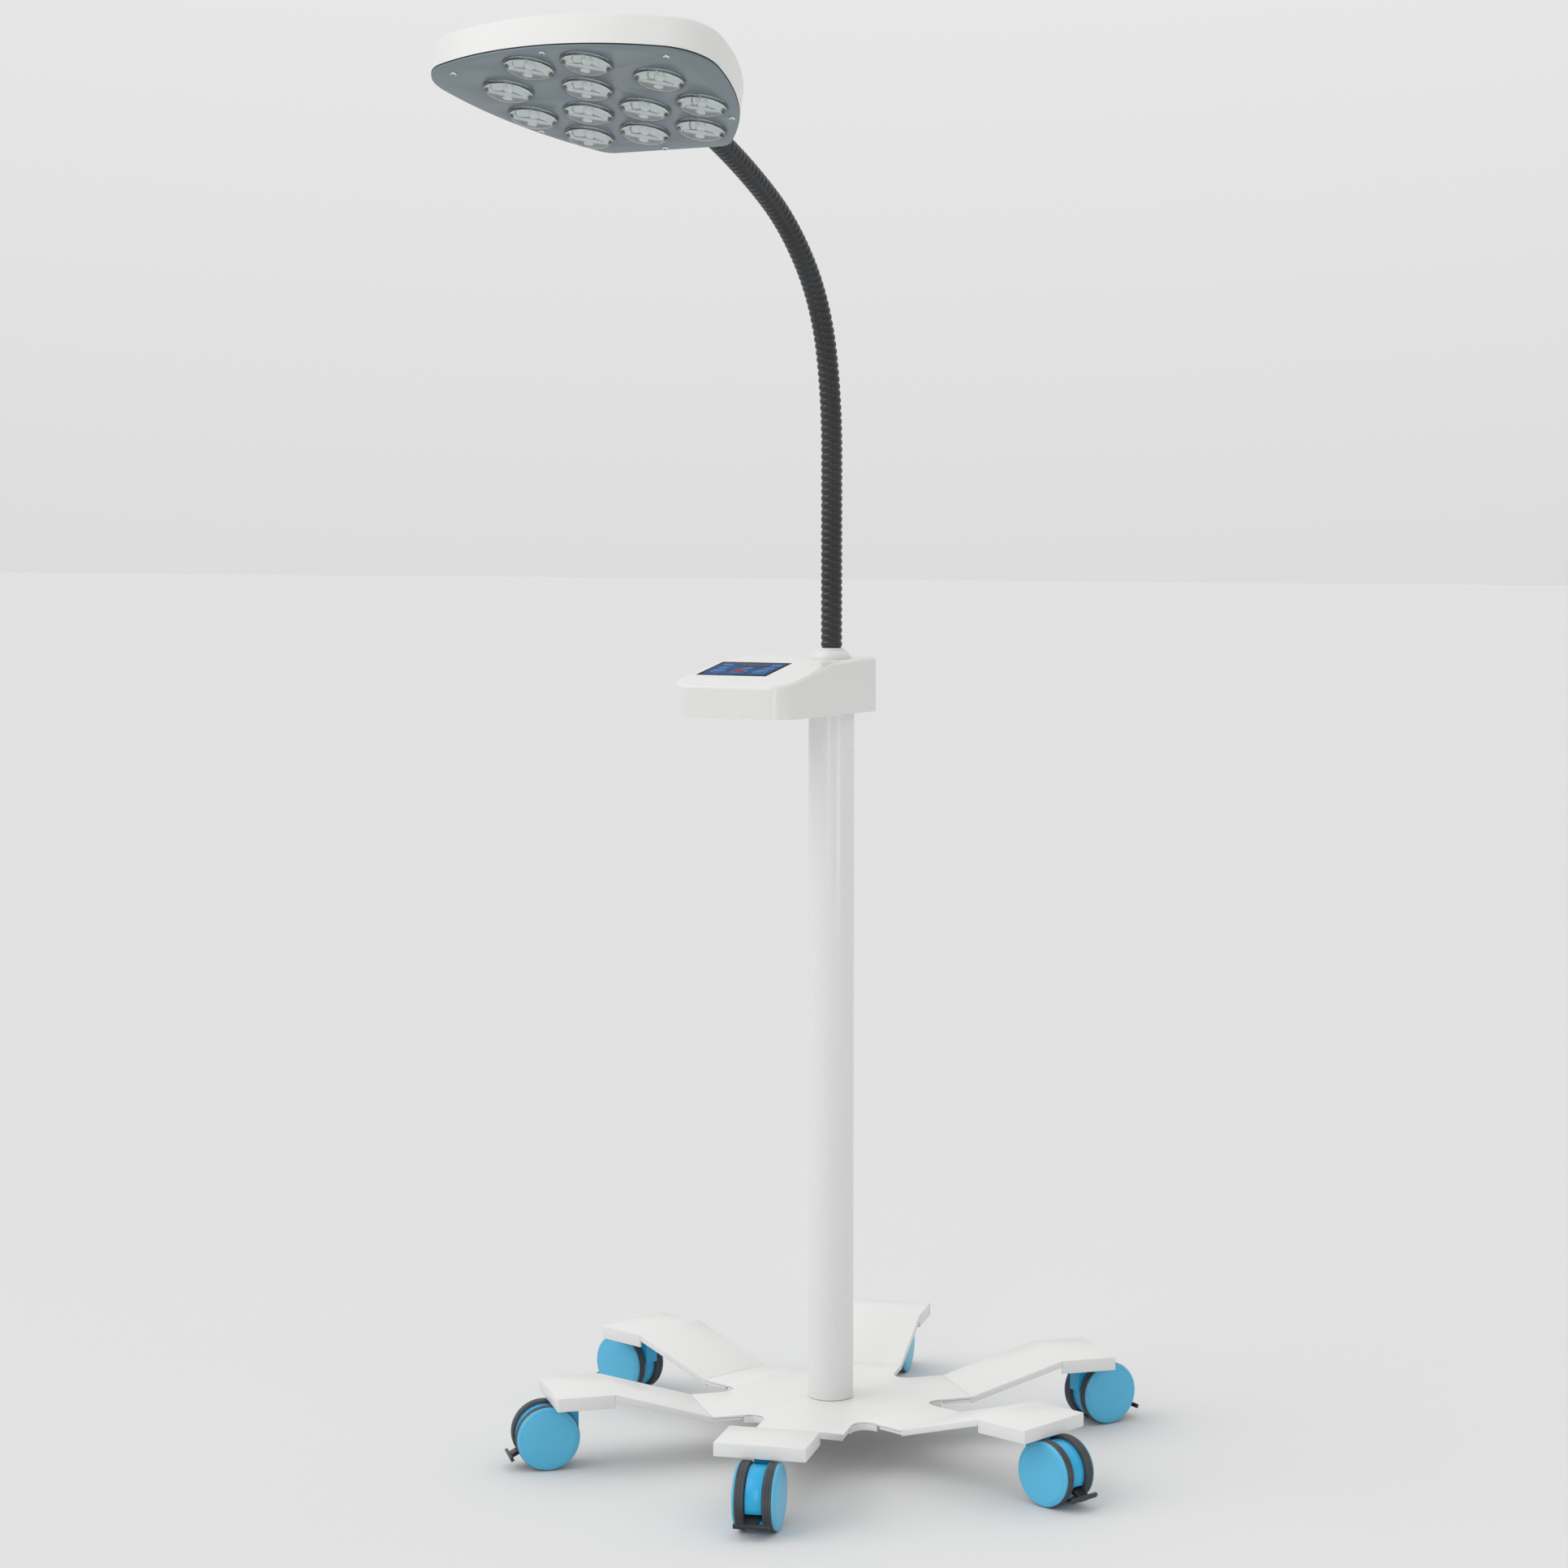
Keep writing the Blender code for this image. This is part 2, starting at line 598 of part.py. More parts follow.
def box_cover(parent, local, look):
    """The cover: a thin shell open below, with a cone round the neck and holes for what it carries."""
    cone_low = COLLAR_D / 2 + CONE_SPREAD
    cone_high = COLLAR_D / 2 + CONE_TOP_SPREAD
    cone_top = BOX_BOTTOM + BOX_REAR_H + COLLAR_PROUD - CONE_DROP
    cone = turned(((0, cone_top - CONE_ROOT), (cone_low, cone_top - CONE_ROOT), (cone_low, cone_top - CONE_H),
                   (cone_high, cone_top), (0, cone_top)), 28, "cone")
    outer = combine(soften_top(box_solid(0.0, 0.0, "box_outer"), BOX_EDGE), [cone], "UNION")
    cutters = [
        box_solid(BOX_WALL, -CUT, "box_hollow"),
        plug(COLLAR_D / 2 + GAP, BOX_BOTTOM, cone_top + CUT, 28, "collar_bore"),
        moved(keypad_block(GAP, -KEYPAD_T - GAP, CUT, "recess"), local),
        inlet_block(GAP, BOX_REAR - CUT, BOX_REAR + CUT, "slot"),
    ]
    place("box_cover", combine(outer, cutters + button_bores(local), "DIFFERENCE"), look, parent)


def control_box(parent, looks):
    """Cover, floor, keypad, buttons, boards and inlet."""
    panel = panel_frame(parent)
    bpy.context.view_layer.update()
    box_cover(parent, parent.matrix_world.inverted() @ panel.matrix_world, looks["white"])

    floor_low = BOX_BOTTOM + FLOOR_RISE
    floor = prism(box_outline(BOX_WALL + GAP), floor_low, floor_low + SHEET, "box_floor")
    pole_hole = plug(POLE_D / 2 + GAP, floor_low - CUT, floor_low + CUT, 32, "pole_hole")
    place("box_floor", combine(floor, [pole_hole], "DIFFERENCE"), looks["white"], parent, smooth=False)

    plate = keypad_block(0, -KEYPAD_T, 0, "keypad_panel")
    keypad = combine(plate, button_bores(Matrix.Identity(4)), "DIFFERENCE")
    place("keypad_panel", keypad, looks["keypad"], panel, smooth=False)

    under = -BOX_WALL - GAP
    foot, radius = under - BUTTON_FLANGE, BUTTON_D / 2
    button = turned(
        ((0, foot), (radius + BUTTON_FLANGE, foot), (radius + BUTTON_FLANGE, under), (radius, under),
         (radius, BUTTON_PROUD - BUTTON_ROUND / 2), (radius - BUTTON_ROUND, BUTTON_PROUD), (0, BUTTON_PROUD)),
        16, "button")
    for name, (x, y) in button_places().items():
        place(name, button.copy(), looks[name], panel, (x, y, 0))

    board_top = foot - BUTTON_TRAVEL - 2 * GAP
    board = keypad_block(-BOARD_MARGIN, board_top - BOARD_T, board_top, "control_board")
    place("control_board", board, looks["board"], panel, smooth=False)

    left, rear, base = -BOX_LEFT + MODULE_FROM_LEFT, MODULE_FROM_POLE, floor_low + SHEET + GAP
    supply = block(left, left + MODULE_W, rear - MODULE_L, rear, base, base + MODULE_H, "power_module")
    place("power_module", supply, looks["module"], parent, smooth=False)

    body = inlet_block(0, BOX_REAR - INLET_DEPTH, BOX_REAR + GAP, "inlet_body")
    rim = inlet_block(INLET_RIM, BOX_REAR + GAP, BOX_REAR + INLET_RIM_T, "inlet_rim")
    mouth = inlet_block(-INLET_RIM, BOX_REAR - INLET_MOUTH, BOX_REAR + CUT, "inlet_mouth")
    inlet = combine(combine(body, [rim], "UNION"), [mouth], "DIFFERENCE")
    place("power_inlet", inlet, looks["black"], parent, smooth=False)


# ================================================================ neck
def neck_collar(parent, look):
    """Turned collar that plugs the pole's top and carries the neck through the cover."""
    inner = POLE_D / 2 - POLE_WALL - GAP
    low, rim, shoulder = POLE_TOP - COLLAR_PLUG, POLE_TOP + GAP, POLE_TOP + GAP + COLLAR_RIM
    profile = ((0, low), (inner, low), (inner, rim), (POLE_D / 2, rim), (POLE_D / 2, shoulder),
               (COLLAR_D / 2, shoulder), (COLLAR_D / 2, NECK_BASE - COLLAR_EDGE),
               (COLLAR_D / 2 - COLLAR_EDGE, NECK_BASE - GAP), (0, NECK_BASE - GAP))
    place("neck_collar", turned(profile, 28, "neck_collar"), look, parent)


def link_points(bend, start, end, count):
    """Middle line of a link from its own base at the origin, rising along +Z and leaning to -Y."""
    turn = math.radians(bend)

    def at(share):
        if turn == 0:
            return Vector((0, 0, NECK_LINK * share)), 0.0
        radius = NECK_LINK / turn
        angle = turn * share
        return Vector((0, -radius * (1 - math.cos(angle)), radius * math.sin(angle))), angle

    return [at((start + (end - start) * i / count) / NECK_LINK) for i in range(count + 1)]


def link_mesh(bend, first, last):
    """One curved link; its ends are coned so that it can turn against its neighbours."""
    radius = NECK_D / 2
    setback = radius * math.tan(math.radians(NECK_MAX_TURN / 2)) + GAP - NECK_GAP / 2
    low = GAP if first else NECK_GAP / 2
    high = NECK_LINK + SOCKET_BORE - 2 * GAP if last else NECK_LINK - NECK_GAP / 2
    stations = [(low, radius)] if first else [(low, NECK_END_FLAT), (low + setback, radius)]
    body_low = low if first else low + setback
    body_high = NECK_LINK if last else high - setback
    stations += [(body_low + (body_high - body_low) * i / 4, radius) for i in range(1, 5)]
    stations += [(high, radius)] if last else [(high, NECK_END_FLAT)]
    rings = []
    for along, size in stations:
        centre, angle = link_points(bend, min(along, NECK_LINK), min(along, NECK_LINK) + 1e-9, 1)[0]
        turn = Matrix.Rotation(angle, 3, "X")
        beyond = turn @ Vector((0, 0, max(0.0, along - NECK_LINK)))
        rings.append([centre + beyond + turn @ point for point in circle(size, 0, 16)])
    return loft(rings, "neck_link")


def neck(parent, look):
    """Seven links, each hanging from an empty at its joint; gives back the last link's end."""
    carrier = empty("neck_joint_0", parent, (0, 0, NECK_BASE))
    for k, bend in enumerate(NECK_BENDS):
        last = k == len(NECK_BENDS) - 1
        place(f"neck_link_{k + 1}", link_mesh(bend, k == 0, last), look, carrier)
        end, angle = link_points(bend, NECK_LINK, NECK_LINK + 1e-9, 1)[0]
        carrier = empty(f"neck_joint_{k + 1}", carrier, end, (math.degrees(angle), 0, 0))
    return carrier


# ================================================================ lamp head
def meet(centre_a, radius_a, centre_b, radius_b):
    """The point at given distances from two centres that lies to the left, going from a to b."""
    ax, ay = centre_a
    bx, by = centre_b
    span = math.hypot(bx - ax, by - ay)
    along = (radius_a ** 2 - radius_b ** 2 + span ** 2) / (2 * span)
    off = math.sqrt(max(0.0, radius_a ** 2 - along ** 2))
    ux, uy = (bx - ax) / span, (by - ay) / span
    return ax + along * ux - off * uy, ay + along * uy + off * ux


def head_outline(inset):
    """Plan of the lamp head: flat narrow end at +Y, bowed sides, wide bowed end at -Y."""
    flat_y = ROW + HEAD_NARROW_MARGIN - inset
    wide_y = -2 * ROW - HEAD_WIDE_MARGIN
    wide_centre = (0.0, wide_y + HEAD_WIDE_R)
    widest = 1.5 * LENS_PITCH + HEAD_SIDE_MARGIN
    side_centre = (widest - HEAD_SIDE_R, HEAD_SIDE_Y)
    big, small = HEAD_WIDE_CORNER - inset, HEAD_NARROW_CORNER - inset
    side_r, wide_r = HEAD_SIDE_R - inset, HEAD_WIDE_R - inset
    corner = meet(wide_centre, HEAD_WIDE_R - HEAD_WIDE_CORNER, side_centre, HEAD_SIDE_R - HEAD_WIDE_CORNER)
    small_y = ROW + HEAD_NARROW_MARGIN - HEAD_NARROW_CORNER
    reach = HEAD_SIDE_R - HEAD_NARROW_CORNER
    small_x = side_centre[0] + math.sqrt(reach ** 2 - (small_y - side_centre[1]) ** 2)
    wide_end = math.atan2(corner[1] - wide_centre[1], corner[0] - wide_centre[0])
    side_start = math.atan2(corner[1] - side_centre[1], corner[0] - side_centre[0])
    side_end = math.atan2(small_y - side_centre[1], small_x - side_centre[0])
    half = arc(wide_centre, wide_r, -math.pi / 2, wide_end, 5)
    half += arc(corner, big, wide_end, side_start, 7)[1:]
    half += arc(side_centre, side_r, side_start, side_end, 7)[1:]
    half += arc((small_x, small_y), small, side_end, math.pi / 2, 5)[1:]
    half[-1] = (half[-1][0], flat_y)
    return half + [(-x, y) for x, y in reversed(half)][:-1]


def ring_of(outline, height):
    """An outline as a level ring of points."""
    return [Vector((x, y, height)) for x, y in outline]


def lens_places():
    """Centres of the twelve lenses in the head's own plane."""
    half, push = LENS_PITCH / 2, LENS_ROW_PUSH * LENS_PITCH
    places = [(x * half, ROW) for x in (-2, 0, 2)]
    places += [(x * half, 0.0) for x in (-3, -1, 1, 3)]
    places += [(-2 * half - 2.5 * push, -ROW - push), (0.0, -ROW), (2 * half + 2.5 * push, -ROW - push)]
    places += [(x * half, -2 * ROW) for x in (-1, 1)]
    return places


def lamp_head(neck_end, looks):
    """Shell, face plate, LED board, lenses and the socket that holds the neck."""
    rear_face = ROW + HEAD_NARROW_MARGIN - SOCKET_FROM_END
    axis_height = HEAD_DEPTH + SOCKET_H / 2
    frame = empty("head_frame", neck_end, (0, 0, 0), (-90, 0, 0))
    head = empty("head", frame, (0, -rear_face, -axis_height))

    low = FACE_T + GAP
    edge = HEAD_EDGE
    soft = edge * (1 - math.cos(math.radians(45)))
    shell = loft([
        ring_of(head_outline(HEAD_WALL), HEAD_DEPTH - HEAD_WALL),
        ring_of(head_outline(HEAD_WALL), low),
        ring_of(head_outline(0), low),
        ring_of(head_outline(0), HEAD_DEPTH - edge),
        ring_of(head_outline(soft), HEAD_DEPTH - soft),
        ring_of(head_outline(edge), HEAD_DEPTH),
    ], "head_shell")
    place("head_shell", shell, looks["white"], head)

    face = prism(head_outline(FACE_INSET), 0, FACE_T, "face_plate")
    seat = LENS_SEAT_D / 2
    holes = [
        moved(plug(seat + GAP, -CUT, CUT, LENS_SIDES, "seat"), Matrix.Translation((x, y, 0)))
        for x, y in lens_places()
    ]
    place("face_plate", combine(face, holes, "DIFFERENCE"), looks["face"], head, smooth=False)

    rim, back = LENS_D / 2, FACE_T + LENS_BACK
    lens = turned(
        ((0, -LENS_DOME), (0.42 * rim, -0.90 * LENS_DOME), (0.76 * rim, -0.60 * LENS_DOME),
         (rim, -LENS_RIM_T), (rim, -GAP), (seat, -GAP), (seat, back), (0, back)), LENS_SIDES, "lens")
    for k, (x, y) in enumerate(lens_places()):
        place(f"lens_{k + 1:02d}", lens.copy(), looks["lens"], head, (x, y, 0))

    board_low = back + 2 * GAP
    board = prism(head_outline(BOARD_INSET)[::2], board_low, board_low + 2 * BOARD_T, "led_board")
    place("led_board", board, looks["board"], head, smooth=False)

    base = HEAD_DEPTH + GAP
    top = HEAD_DEPTH + SOCKET_H
    half, inner = SOCKET_W / 2, SOCKET_W / 2 - SOCKET_ROUND
    side = [(-half, base), (half, base)] + arc((inner, top - SOCKET_ROUND), SOCKET_ROUND, 0, math.pi / 2, 4)
    side += arc((-inner, top - SOCKET_ROUND), SOCKET_ROUND, math.pi / 2, math.pi, 4)
    body = loft([[Vector((x, y, z)) for x, z in side] for y in (rear_face, rear_face - SOCKET_L)], "socket")
    bore = plug(NECK_D / 2 + GAP, 0, SOCKET_BORE + CUT, 20, "neck_bore")
    into = Matrix.Translation((0, rear_face + CUT, axis_height)) @ Matrix.Rotation(math.radians(90), 4, "X")
    place("neck_socket", combine(body, [moved(bore, into)], "DIFFERENCE"), looks["white"], head)


# ================================================================ the light
def main():
    """Build the whole light."""
    clear_scene()
    white = material("white_paint", (0.80, 0.80, 0.78), 0.35)
    looks = {
        "white": white,
        "housing": material("caster_blue", (0.03, 0.48, 0.80), 0.35),
        "wheel": material("wheel_grey", (0.08, 0.40, 0.62), 0.40),
        "pedal": material("pedal_black", (0.015, 0.015, 0.017), 0.45),
        "black": material("inlet_black", (0.02, 0.02, 0.02), 0.50),
        "keypad": material("keypad_blue", (0.010, 0.030, 0.14), 0.30),
        "dim_button": material("button_blue", (0.05, 0.18, 0.55), 0.35),
        "power_button": material("button_red", (0.55, 0.02, 0.03), 0.35),
        "bright_button": material("button_light_blue", (0.10, 0.28, 0.65), 0.35),
        "board": material("board_green", (0.02, 0.16, 0.06), 0.50),
        "module": material("module_grey", (0.25, 0.25, 0.26), 0.50),
        "face": material("face_grey", (0.15, 0.19, 0.22), 0.45),
        "lens": material("lens_clear", (0.75, 0.80, 0.80), 0.08, alpha=0.4),
        "neck": material("neck_black", (0.012, 0.013, 0.016), 0.40),
        "steel": material("plain_steel", (0.55, 0.55, 0.56), 0.35, metallic=1.0),
    }
    stand = empty("stand", None, (POLE_X, POLE_Y, 0))
    hub_plate(stand, white)
    leg = leg_mesh()
    for k in range(LEG_COUNT):
        place(f"leg_{k + 1}", leg, white, stand, turn=(0, 0, BASE_TURN + k * 360 / LEG_COUNT), smooth=False)
    pole_and_foot(stand, white, looks["steel"])
    casters(stand, looks)
    control_box(stand, looks)
    neck_collar(stand, looks["steel"])
    lamp_head(neck(stand, looks["neck"]), looks)


main()
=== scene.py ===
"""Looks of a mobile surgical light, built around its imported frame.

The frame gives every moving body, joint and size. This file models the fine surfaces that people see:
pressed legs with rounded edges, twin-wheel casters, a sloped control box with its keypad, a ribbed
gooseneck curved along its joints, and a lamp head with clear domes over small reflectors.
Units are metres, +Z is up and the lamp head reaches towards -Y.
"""

import json
import logging
import math
from contextlib import contextmanager
from dataclasses import dataclass, field
from enum import Enum
from typing import Callable, Iterator, Sequence

import bmesh
import bpy
from mathutils import Matrix, Vector

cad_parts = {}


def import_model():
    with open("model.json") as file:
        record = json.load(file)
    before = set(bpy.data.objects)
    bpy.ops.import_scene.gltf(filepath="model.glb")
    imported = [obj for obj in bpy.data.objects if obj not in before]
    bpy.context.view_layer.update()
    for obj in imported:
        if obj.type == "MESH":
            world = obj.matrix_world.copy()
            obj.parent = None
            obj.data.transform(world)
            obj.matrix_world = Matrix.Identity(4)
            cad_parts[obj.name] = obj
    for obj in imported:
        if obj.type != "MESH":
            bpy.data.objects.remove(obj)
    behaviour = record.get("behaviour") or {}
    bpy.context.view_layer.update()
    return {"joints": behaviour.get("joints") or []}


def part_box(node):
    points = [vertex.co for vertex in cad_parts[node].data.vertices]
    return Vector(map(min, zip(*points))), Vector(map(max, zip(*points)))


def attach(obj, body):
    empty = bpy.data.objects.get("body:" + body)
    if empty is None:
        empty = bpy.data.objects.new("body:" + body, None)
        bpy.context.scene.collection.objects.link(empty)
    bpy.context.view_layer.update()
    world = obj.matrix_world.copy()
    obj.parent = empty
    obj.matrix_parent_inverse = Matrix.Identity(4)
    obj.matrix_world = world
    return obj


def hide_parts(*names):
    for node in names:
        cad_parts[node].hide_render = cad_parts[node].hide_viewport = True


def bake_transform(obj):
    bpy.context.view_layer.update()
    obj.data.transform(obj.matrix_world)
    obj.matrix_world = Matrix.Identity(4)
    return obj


log = logging.getLogger("surgical_light")

Profile = Sequence[tuple[float, float]]
Colour = tuple[float, float, float]
Outline = list[tuple[float, float]]

GAP = 0.0003  # between pieces that touch
SHY = 0.0001  # how far the shell stays below the frame's own top
NEAR = 0.0001  # how close to a plane counts as lying on it


class Part(Enum):
    """What an edit-mode selection is made of."""

    VERTS = "VERT"
    EDGES = "EDGE"
    FACES = "FACE"


class Ends(Enum):
    """How the two ends of a turned piece are left."""

    CAPPED = "capped"
    OPEN = "open"
    RING = "ring"


class Slot(Enum):
    """Material slots of the record."""

    BASE = "base_paint"
    POLE = "pole_paint"
    SHELL = "shell_white"
    STEEL = "plain_steel"
    KEYPAD = "keypad_film"
    BUTTON_BLUE = "button_blue"
    BUTTON_RED = "button_red"
    BOARD = "board_green"
    FACE = "face_grey"
    LENS = "lens_clear"
    NECK = "neck_black"
    CASTER = "caster_blue"
    WHEEL = "wheel_blue"
    PEDAL = "pedal_black"


# ---------------------------------------------------------------- the workbench
def only(piece: bpy.types.Object) -> None:
    """Leave one object selected and active."""
    for other in bpy.context.selected_objects:
        other.select_set(False)
    piece.select_set(True)
    bpy.context.view_layer.objects.active = piece


def fresh(name: str) -> bpy.types.Object:
    """Name the primitive that was just added.

    Args:
        name: The piece's name.

    Returns:
        The new object, selected alone.
    """
    piece = bpy.context.object
    piece.name = name
    piece.data.name = name
    only(piece)
    return piece


@contextmanager
def shaping(piece: bpy.types.Object, kind: Part = Part.FACES) -> Iterator[None]:
    """Edit mode on one object, with everything selected at the start.

    Args:
        piece: The object to shape.
        kind: What is selected in the block.
    """
    only(piece)
    bpy.ops.object.mode_set(mode="EDIT")
    bpy.ops.mesh.select_mode(type=kind.value)
    bpy.ops.mesh.select_all(action="SELECT")
    yield
    bpy.ops.object.mode_set(mode="OBJECT")


def middle_of(element: object) -> Vector:
    """Middle of a vertex, an edge or a face."""
    if isinstance(element, bmesh.types.BMVert):
        return element.co.copy()
    if isinstance(element, bmesh.types.BMEdge):
        return (element.verts[0].co + element.verts[1].co) / 2
    return element.calc_center_median()


def choose(piece: bpy.types.Object, kind: Part, test: Callable[[object, Vector], bool]) -> None:
    """Select, in edit mode, what passes a test of the element and its middle.

    Args:
        piece: The object in edit mode.
        kind: What to select.
        test: Says of an element and its middle whether it is wanted.
    """
    bpy.ops.mesh.select_mode(type=kind.value)
    bpy.ops.mesh.select_all(action="DESELECT")
    mesh = bmesh.from_edit_mesh(piece.data)
    mesh.normal_update()
    found = {Part.VERTS: mesh.verts, Part.EDGES: mesh.edges, Part.FACES: mesh.faces}[kind]
    for element in found:
        if test(element, middle_of(element)):
            element.select_set(True)
    mesh.select_flush_mode()
    bmesh.update_edit_mesh(piece.data)


def rise(edge: bmesh.types.BMEdge) -> float:
    """How far an edge climbs."""
    return abs((edge.verts[0].co - edge.verts[1].co).z)


def pull(x: float = 0.0, y: float = 0.0, z: float = 0.0) -> None:
    """Extrude what is selected and move it."""
    bpy.ops.mesh.extrude_region_move(TRANSFORM_OT_translate={"value": (x, y, z)})


def shift(x: float = 0.0, y: float = 0.0, z: float = 0.0) -> None:
    """Move what is selected."""
    bpy.ops.transform.translate(value=(x, y, z))


def outwards(piece: bpy.types.Object) -> None:
    """Merge doubles and face the mesh outwards."""
    with shaping(piece):
        bpy.ops.mesh.remove_doubles(threshold=1e-6)
        bpy.ops.mesh.normals_make_consistent(inside=False)


def settle(piece: bpy.types.Object, matrix: Matrix | None = None) -> bpy.types.Object:
    """Carry a piece by a matrix and put its place into its mesh.

    Args:
        piece: The object to carry.
        matrix: Where it goes, or None to leave it where it is.

    Returns:
        The same object, at the origin, unturned and unscaled.
    """
    bpy.context.view_layer.update()
    if matrix is not None:
        piece.matrix_world = matrix @ piece.matrix_world
    only(piece)
    bpy.ops.object.transform_apply(location=True, rotation=True, scale=True)
    return piece


def twin(piece: bpy.types.Object, name: str, matrix: Matrix) -> bpy.types.Object:
    """A copy with its own mesh, carried by a matrix."""
    only(piece)
    bpy.ops.object.duplicate(linked=False)
    return settle(fresh(name), matrix)


def drop(*pieces: bpy.types.Object) -> None:
    """Remove patterns and cutters that aren't part of the light."""
    for piece in pieces:
        bpy.data.objects.remove(piece, do_unlink=True)


def applied(piece: bpy.types.Object, kind: str, **values: object) -> bpy.types.Object:
    """Add a modifier, set it and apply it.

    Args:
        piece: The object to modify.
        kind: The modifier's type.
        values: Its properties.

    Returns:
        The same object.
    """
    modifier = piece.modifiers.new(kind.lower(), kind)
    for key, value in values.items():
        setattr(modifier, key, value)
    only(piece)
    bpy.ops.object.modifier_apply(modifier=modifier.name)
    return piece


def rounded(piece: bpy.types.Object, width: float, segments: int = 2, angle: float = 30.0
            ) -> bpy.types.Object:
    """Round every edge sharper than an angle in degrees."""
    return applied(piece, "BEVEL", width=width, segments=segments, limit_method="ANGLE",
                   angle_limit=math.radians(angle), miter_outer="MITER_ARC", use_clamp_overlap=True)


def carve(piece: bpy.types.Object, cutters: Sequence[bpy.types.Object], join: bool = False
          ) -> bpy.types.Object:
    """Cut, or join, a piece with others, which are then removed."""
    operation = "UNION" if join else "DIFFERENCE"
    for cutter in cutters:
        applied(piece, "BOOLEAN", object=cutter, operation=operation, solver="EXACT")
    drop(*cutters)
    return piece


def block(name: str, low: Sequence[float], high: Sequence[float]) -> bpy.types.Object:
    """A box primitive between two corners."""
    size = [b - a for a, b in zip(low, high)]
    middle = [(a + b) / 2 for a, b in zip(low, high)]
    bpy.ops.mesh.primitive_cube_add(size=1, location=middle, scale=size)
    return settle(fresh(name))


def slab(name: str, size: tuple[float, float], low: float, high: float, at: tuple[float, float] = (0.0, 0.0)
         ) -> bpy.types.Object:
    """A box primitive of a width and length round a point, between two heights."""
    half_x, half_y = size[0] / 2, size[1] / 2
    return block(name, (at[0] - half_x, at[1] - half_y, low), (at[0] + half_x, at[1] + half_y, high))


def turned(name: str, profile: Profile, sides: int, ends: Ends = Ends.CAPPED) -> bpy.types.Object:
    """A piece turned about Z: a circle is extruded and resized from one point of its profile to the next.

    Args:
        name: The piece's name.
        profile: (radius, height) pairs; a ring's profile runs once round its section.
        sides: How many sides the circle has.
        ends: Whether the ends are capped, left open or the profile closes on itself.

    Returns:
        The new object, standing on the origin's axis.
    """
    points = list(profile) + ([profile[0]] if ends is Ends.RING else [])
    fill = "NGON" if ends is Ends.CAPPED else "NOTHING"
    radius, height = points[0]
    bpy.ops.mesh.primitive_circle_add(vertices=sides, radius=radius, fill_type=fill, location=(0, 0, height))
    piece = settle(fresh(name))
    with shaping(piece, Part.FACES if ends is Ends.CAPPED else Part.EDGES):
        for next_radius, next_height in points[1:]:
            share = next_radius / radius
            pull(z=next_height - height)
            bpy.ops.transform.resize(value=(share, share, 1), center_override=(0, 0, next_height))
            radius, height = next_radius, next_height
    outwards(piece)
    return piece


def bar(name: str, radius: float, low: float, high: float, sides: int = 32) -> bpy.types.Object:
    """A plain round bar, for cutting or joining."""
    return turned(name, ((radius, low), (radius, high)), sides)


def softened(radius: float, low: float, high: float, soft: float, foot: bool = True
             ) -> list[tuple[float, float]]:
    """Profile of a round bar with soft edges, at both ends or at its head only."""
    lower = [(radius - soft, low), (radius - 0.3 * soft, low + 0.3 * soft), (radius, low + soft)]
    upper = [(radius, high - soft), (radius - 0.3 * soft, high - 0.3 * soft), (radius - soft, high)]
    return (lower if foot else [(radius, low)]) + upper


def flat_outline(name: str, points: Outline, height: float) -> bpy.types.Object:
    """A filled circle primitive whose vertices are laid on an outline."""
    bpy.ops.mesh.primitive_circle_add(vertices=len(points), radius=1, fill_type="NGON")
    piece = fresh(name)
    for vertex, (x, y) in zip(piece.data.vertices, points):
        vertex.co = (x, y, height)
    outwards(piece)
    return piece


def arc(centre: tuple[float, float], radius: float, start: float, end: float, steps: int) -> Outline:
    """Points of an arc in XY, both ends included; angles in radians."""
    return [
        (centre[0] + radius * math.cos(start + (end - start) * i / steps),
         centre[1] + radius * math.sin(start + (end - start) * i / steps))
        for i in range(steps + 1)
    ]


def frame_of(origin: Vector, x: Vector, y: Vector, z: Vector) -> Matrix:
    """A matrix from an origin and three axes."""
    made = Matrix.Identity(4)
    for column, axis in enumerate((x, y, z, origin)):
        for row in range(3):
            made[row][column] = axis[row]
    return made


def turn(degrees: float, axis: str) -> Matrix:
    """A rotation about one of the main axes."""
    return Matrix.Rotation(math.radians(degrees), 4, axis)


def across(axis_x: bool = False) -> Matrix:
    """Lays a piece turned about Z along +Y, or along +X."""
    return turn(90, "Y") if axis_x else turn(-90, "X")


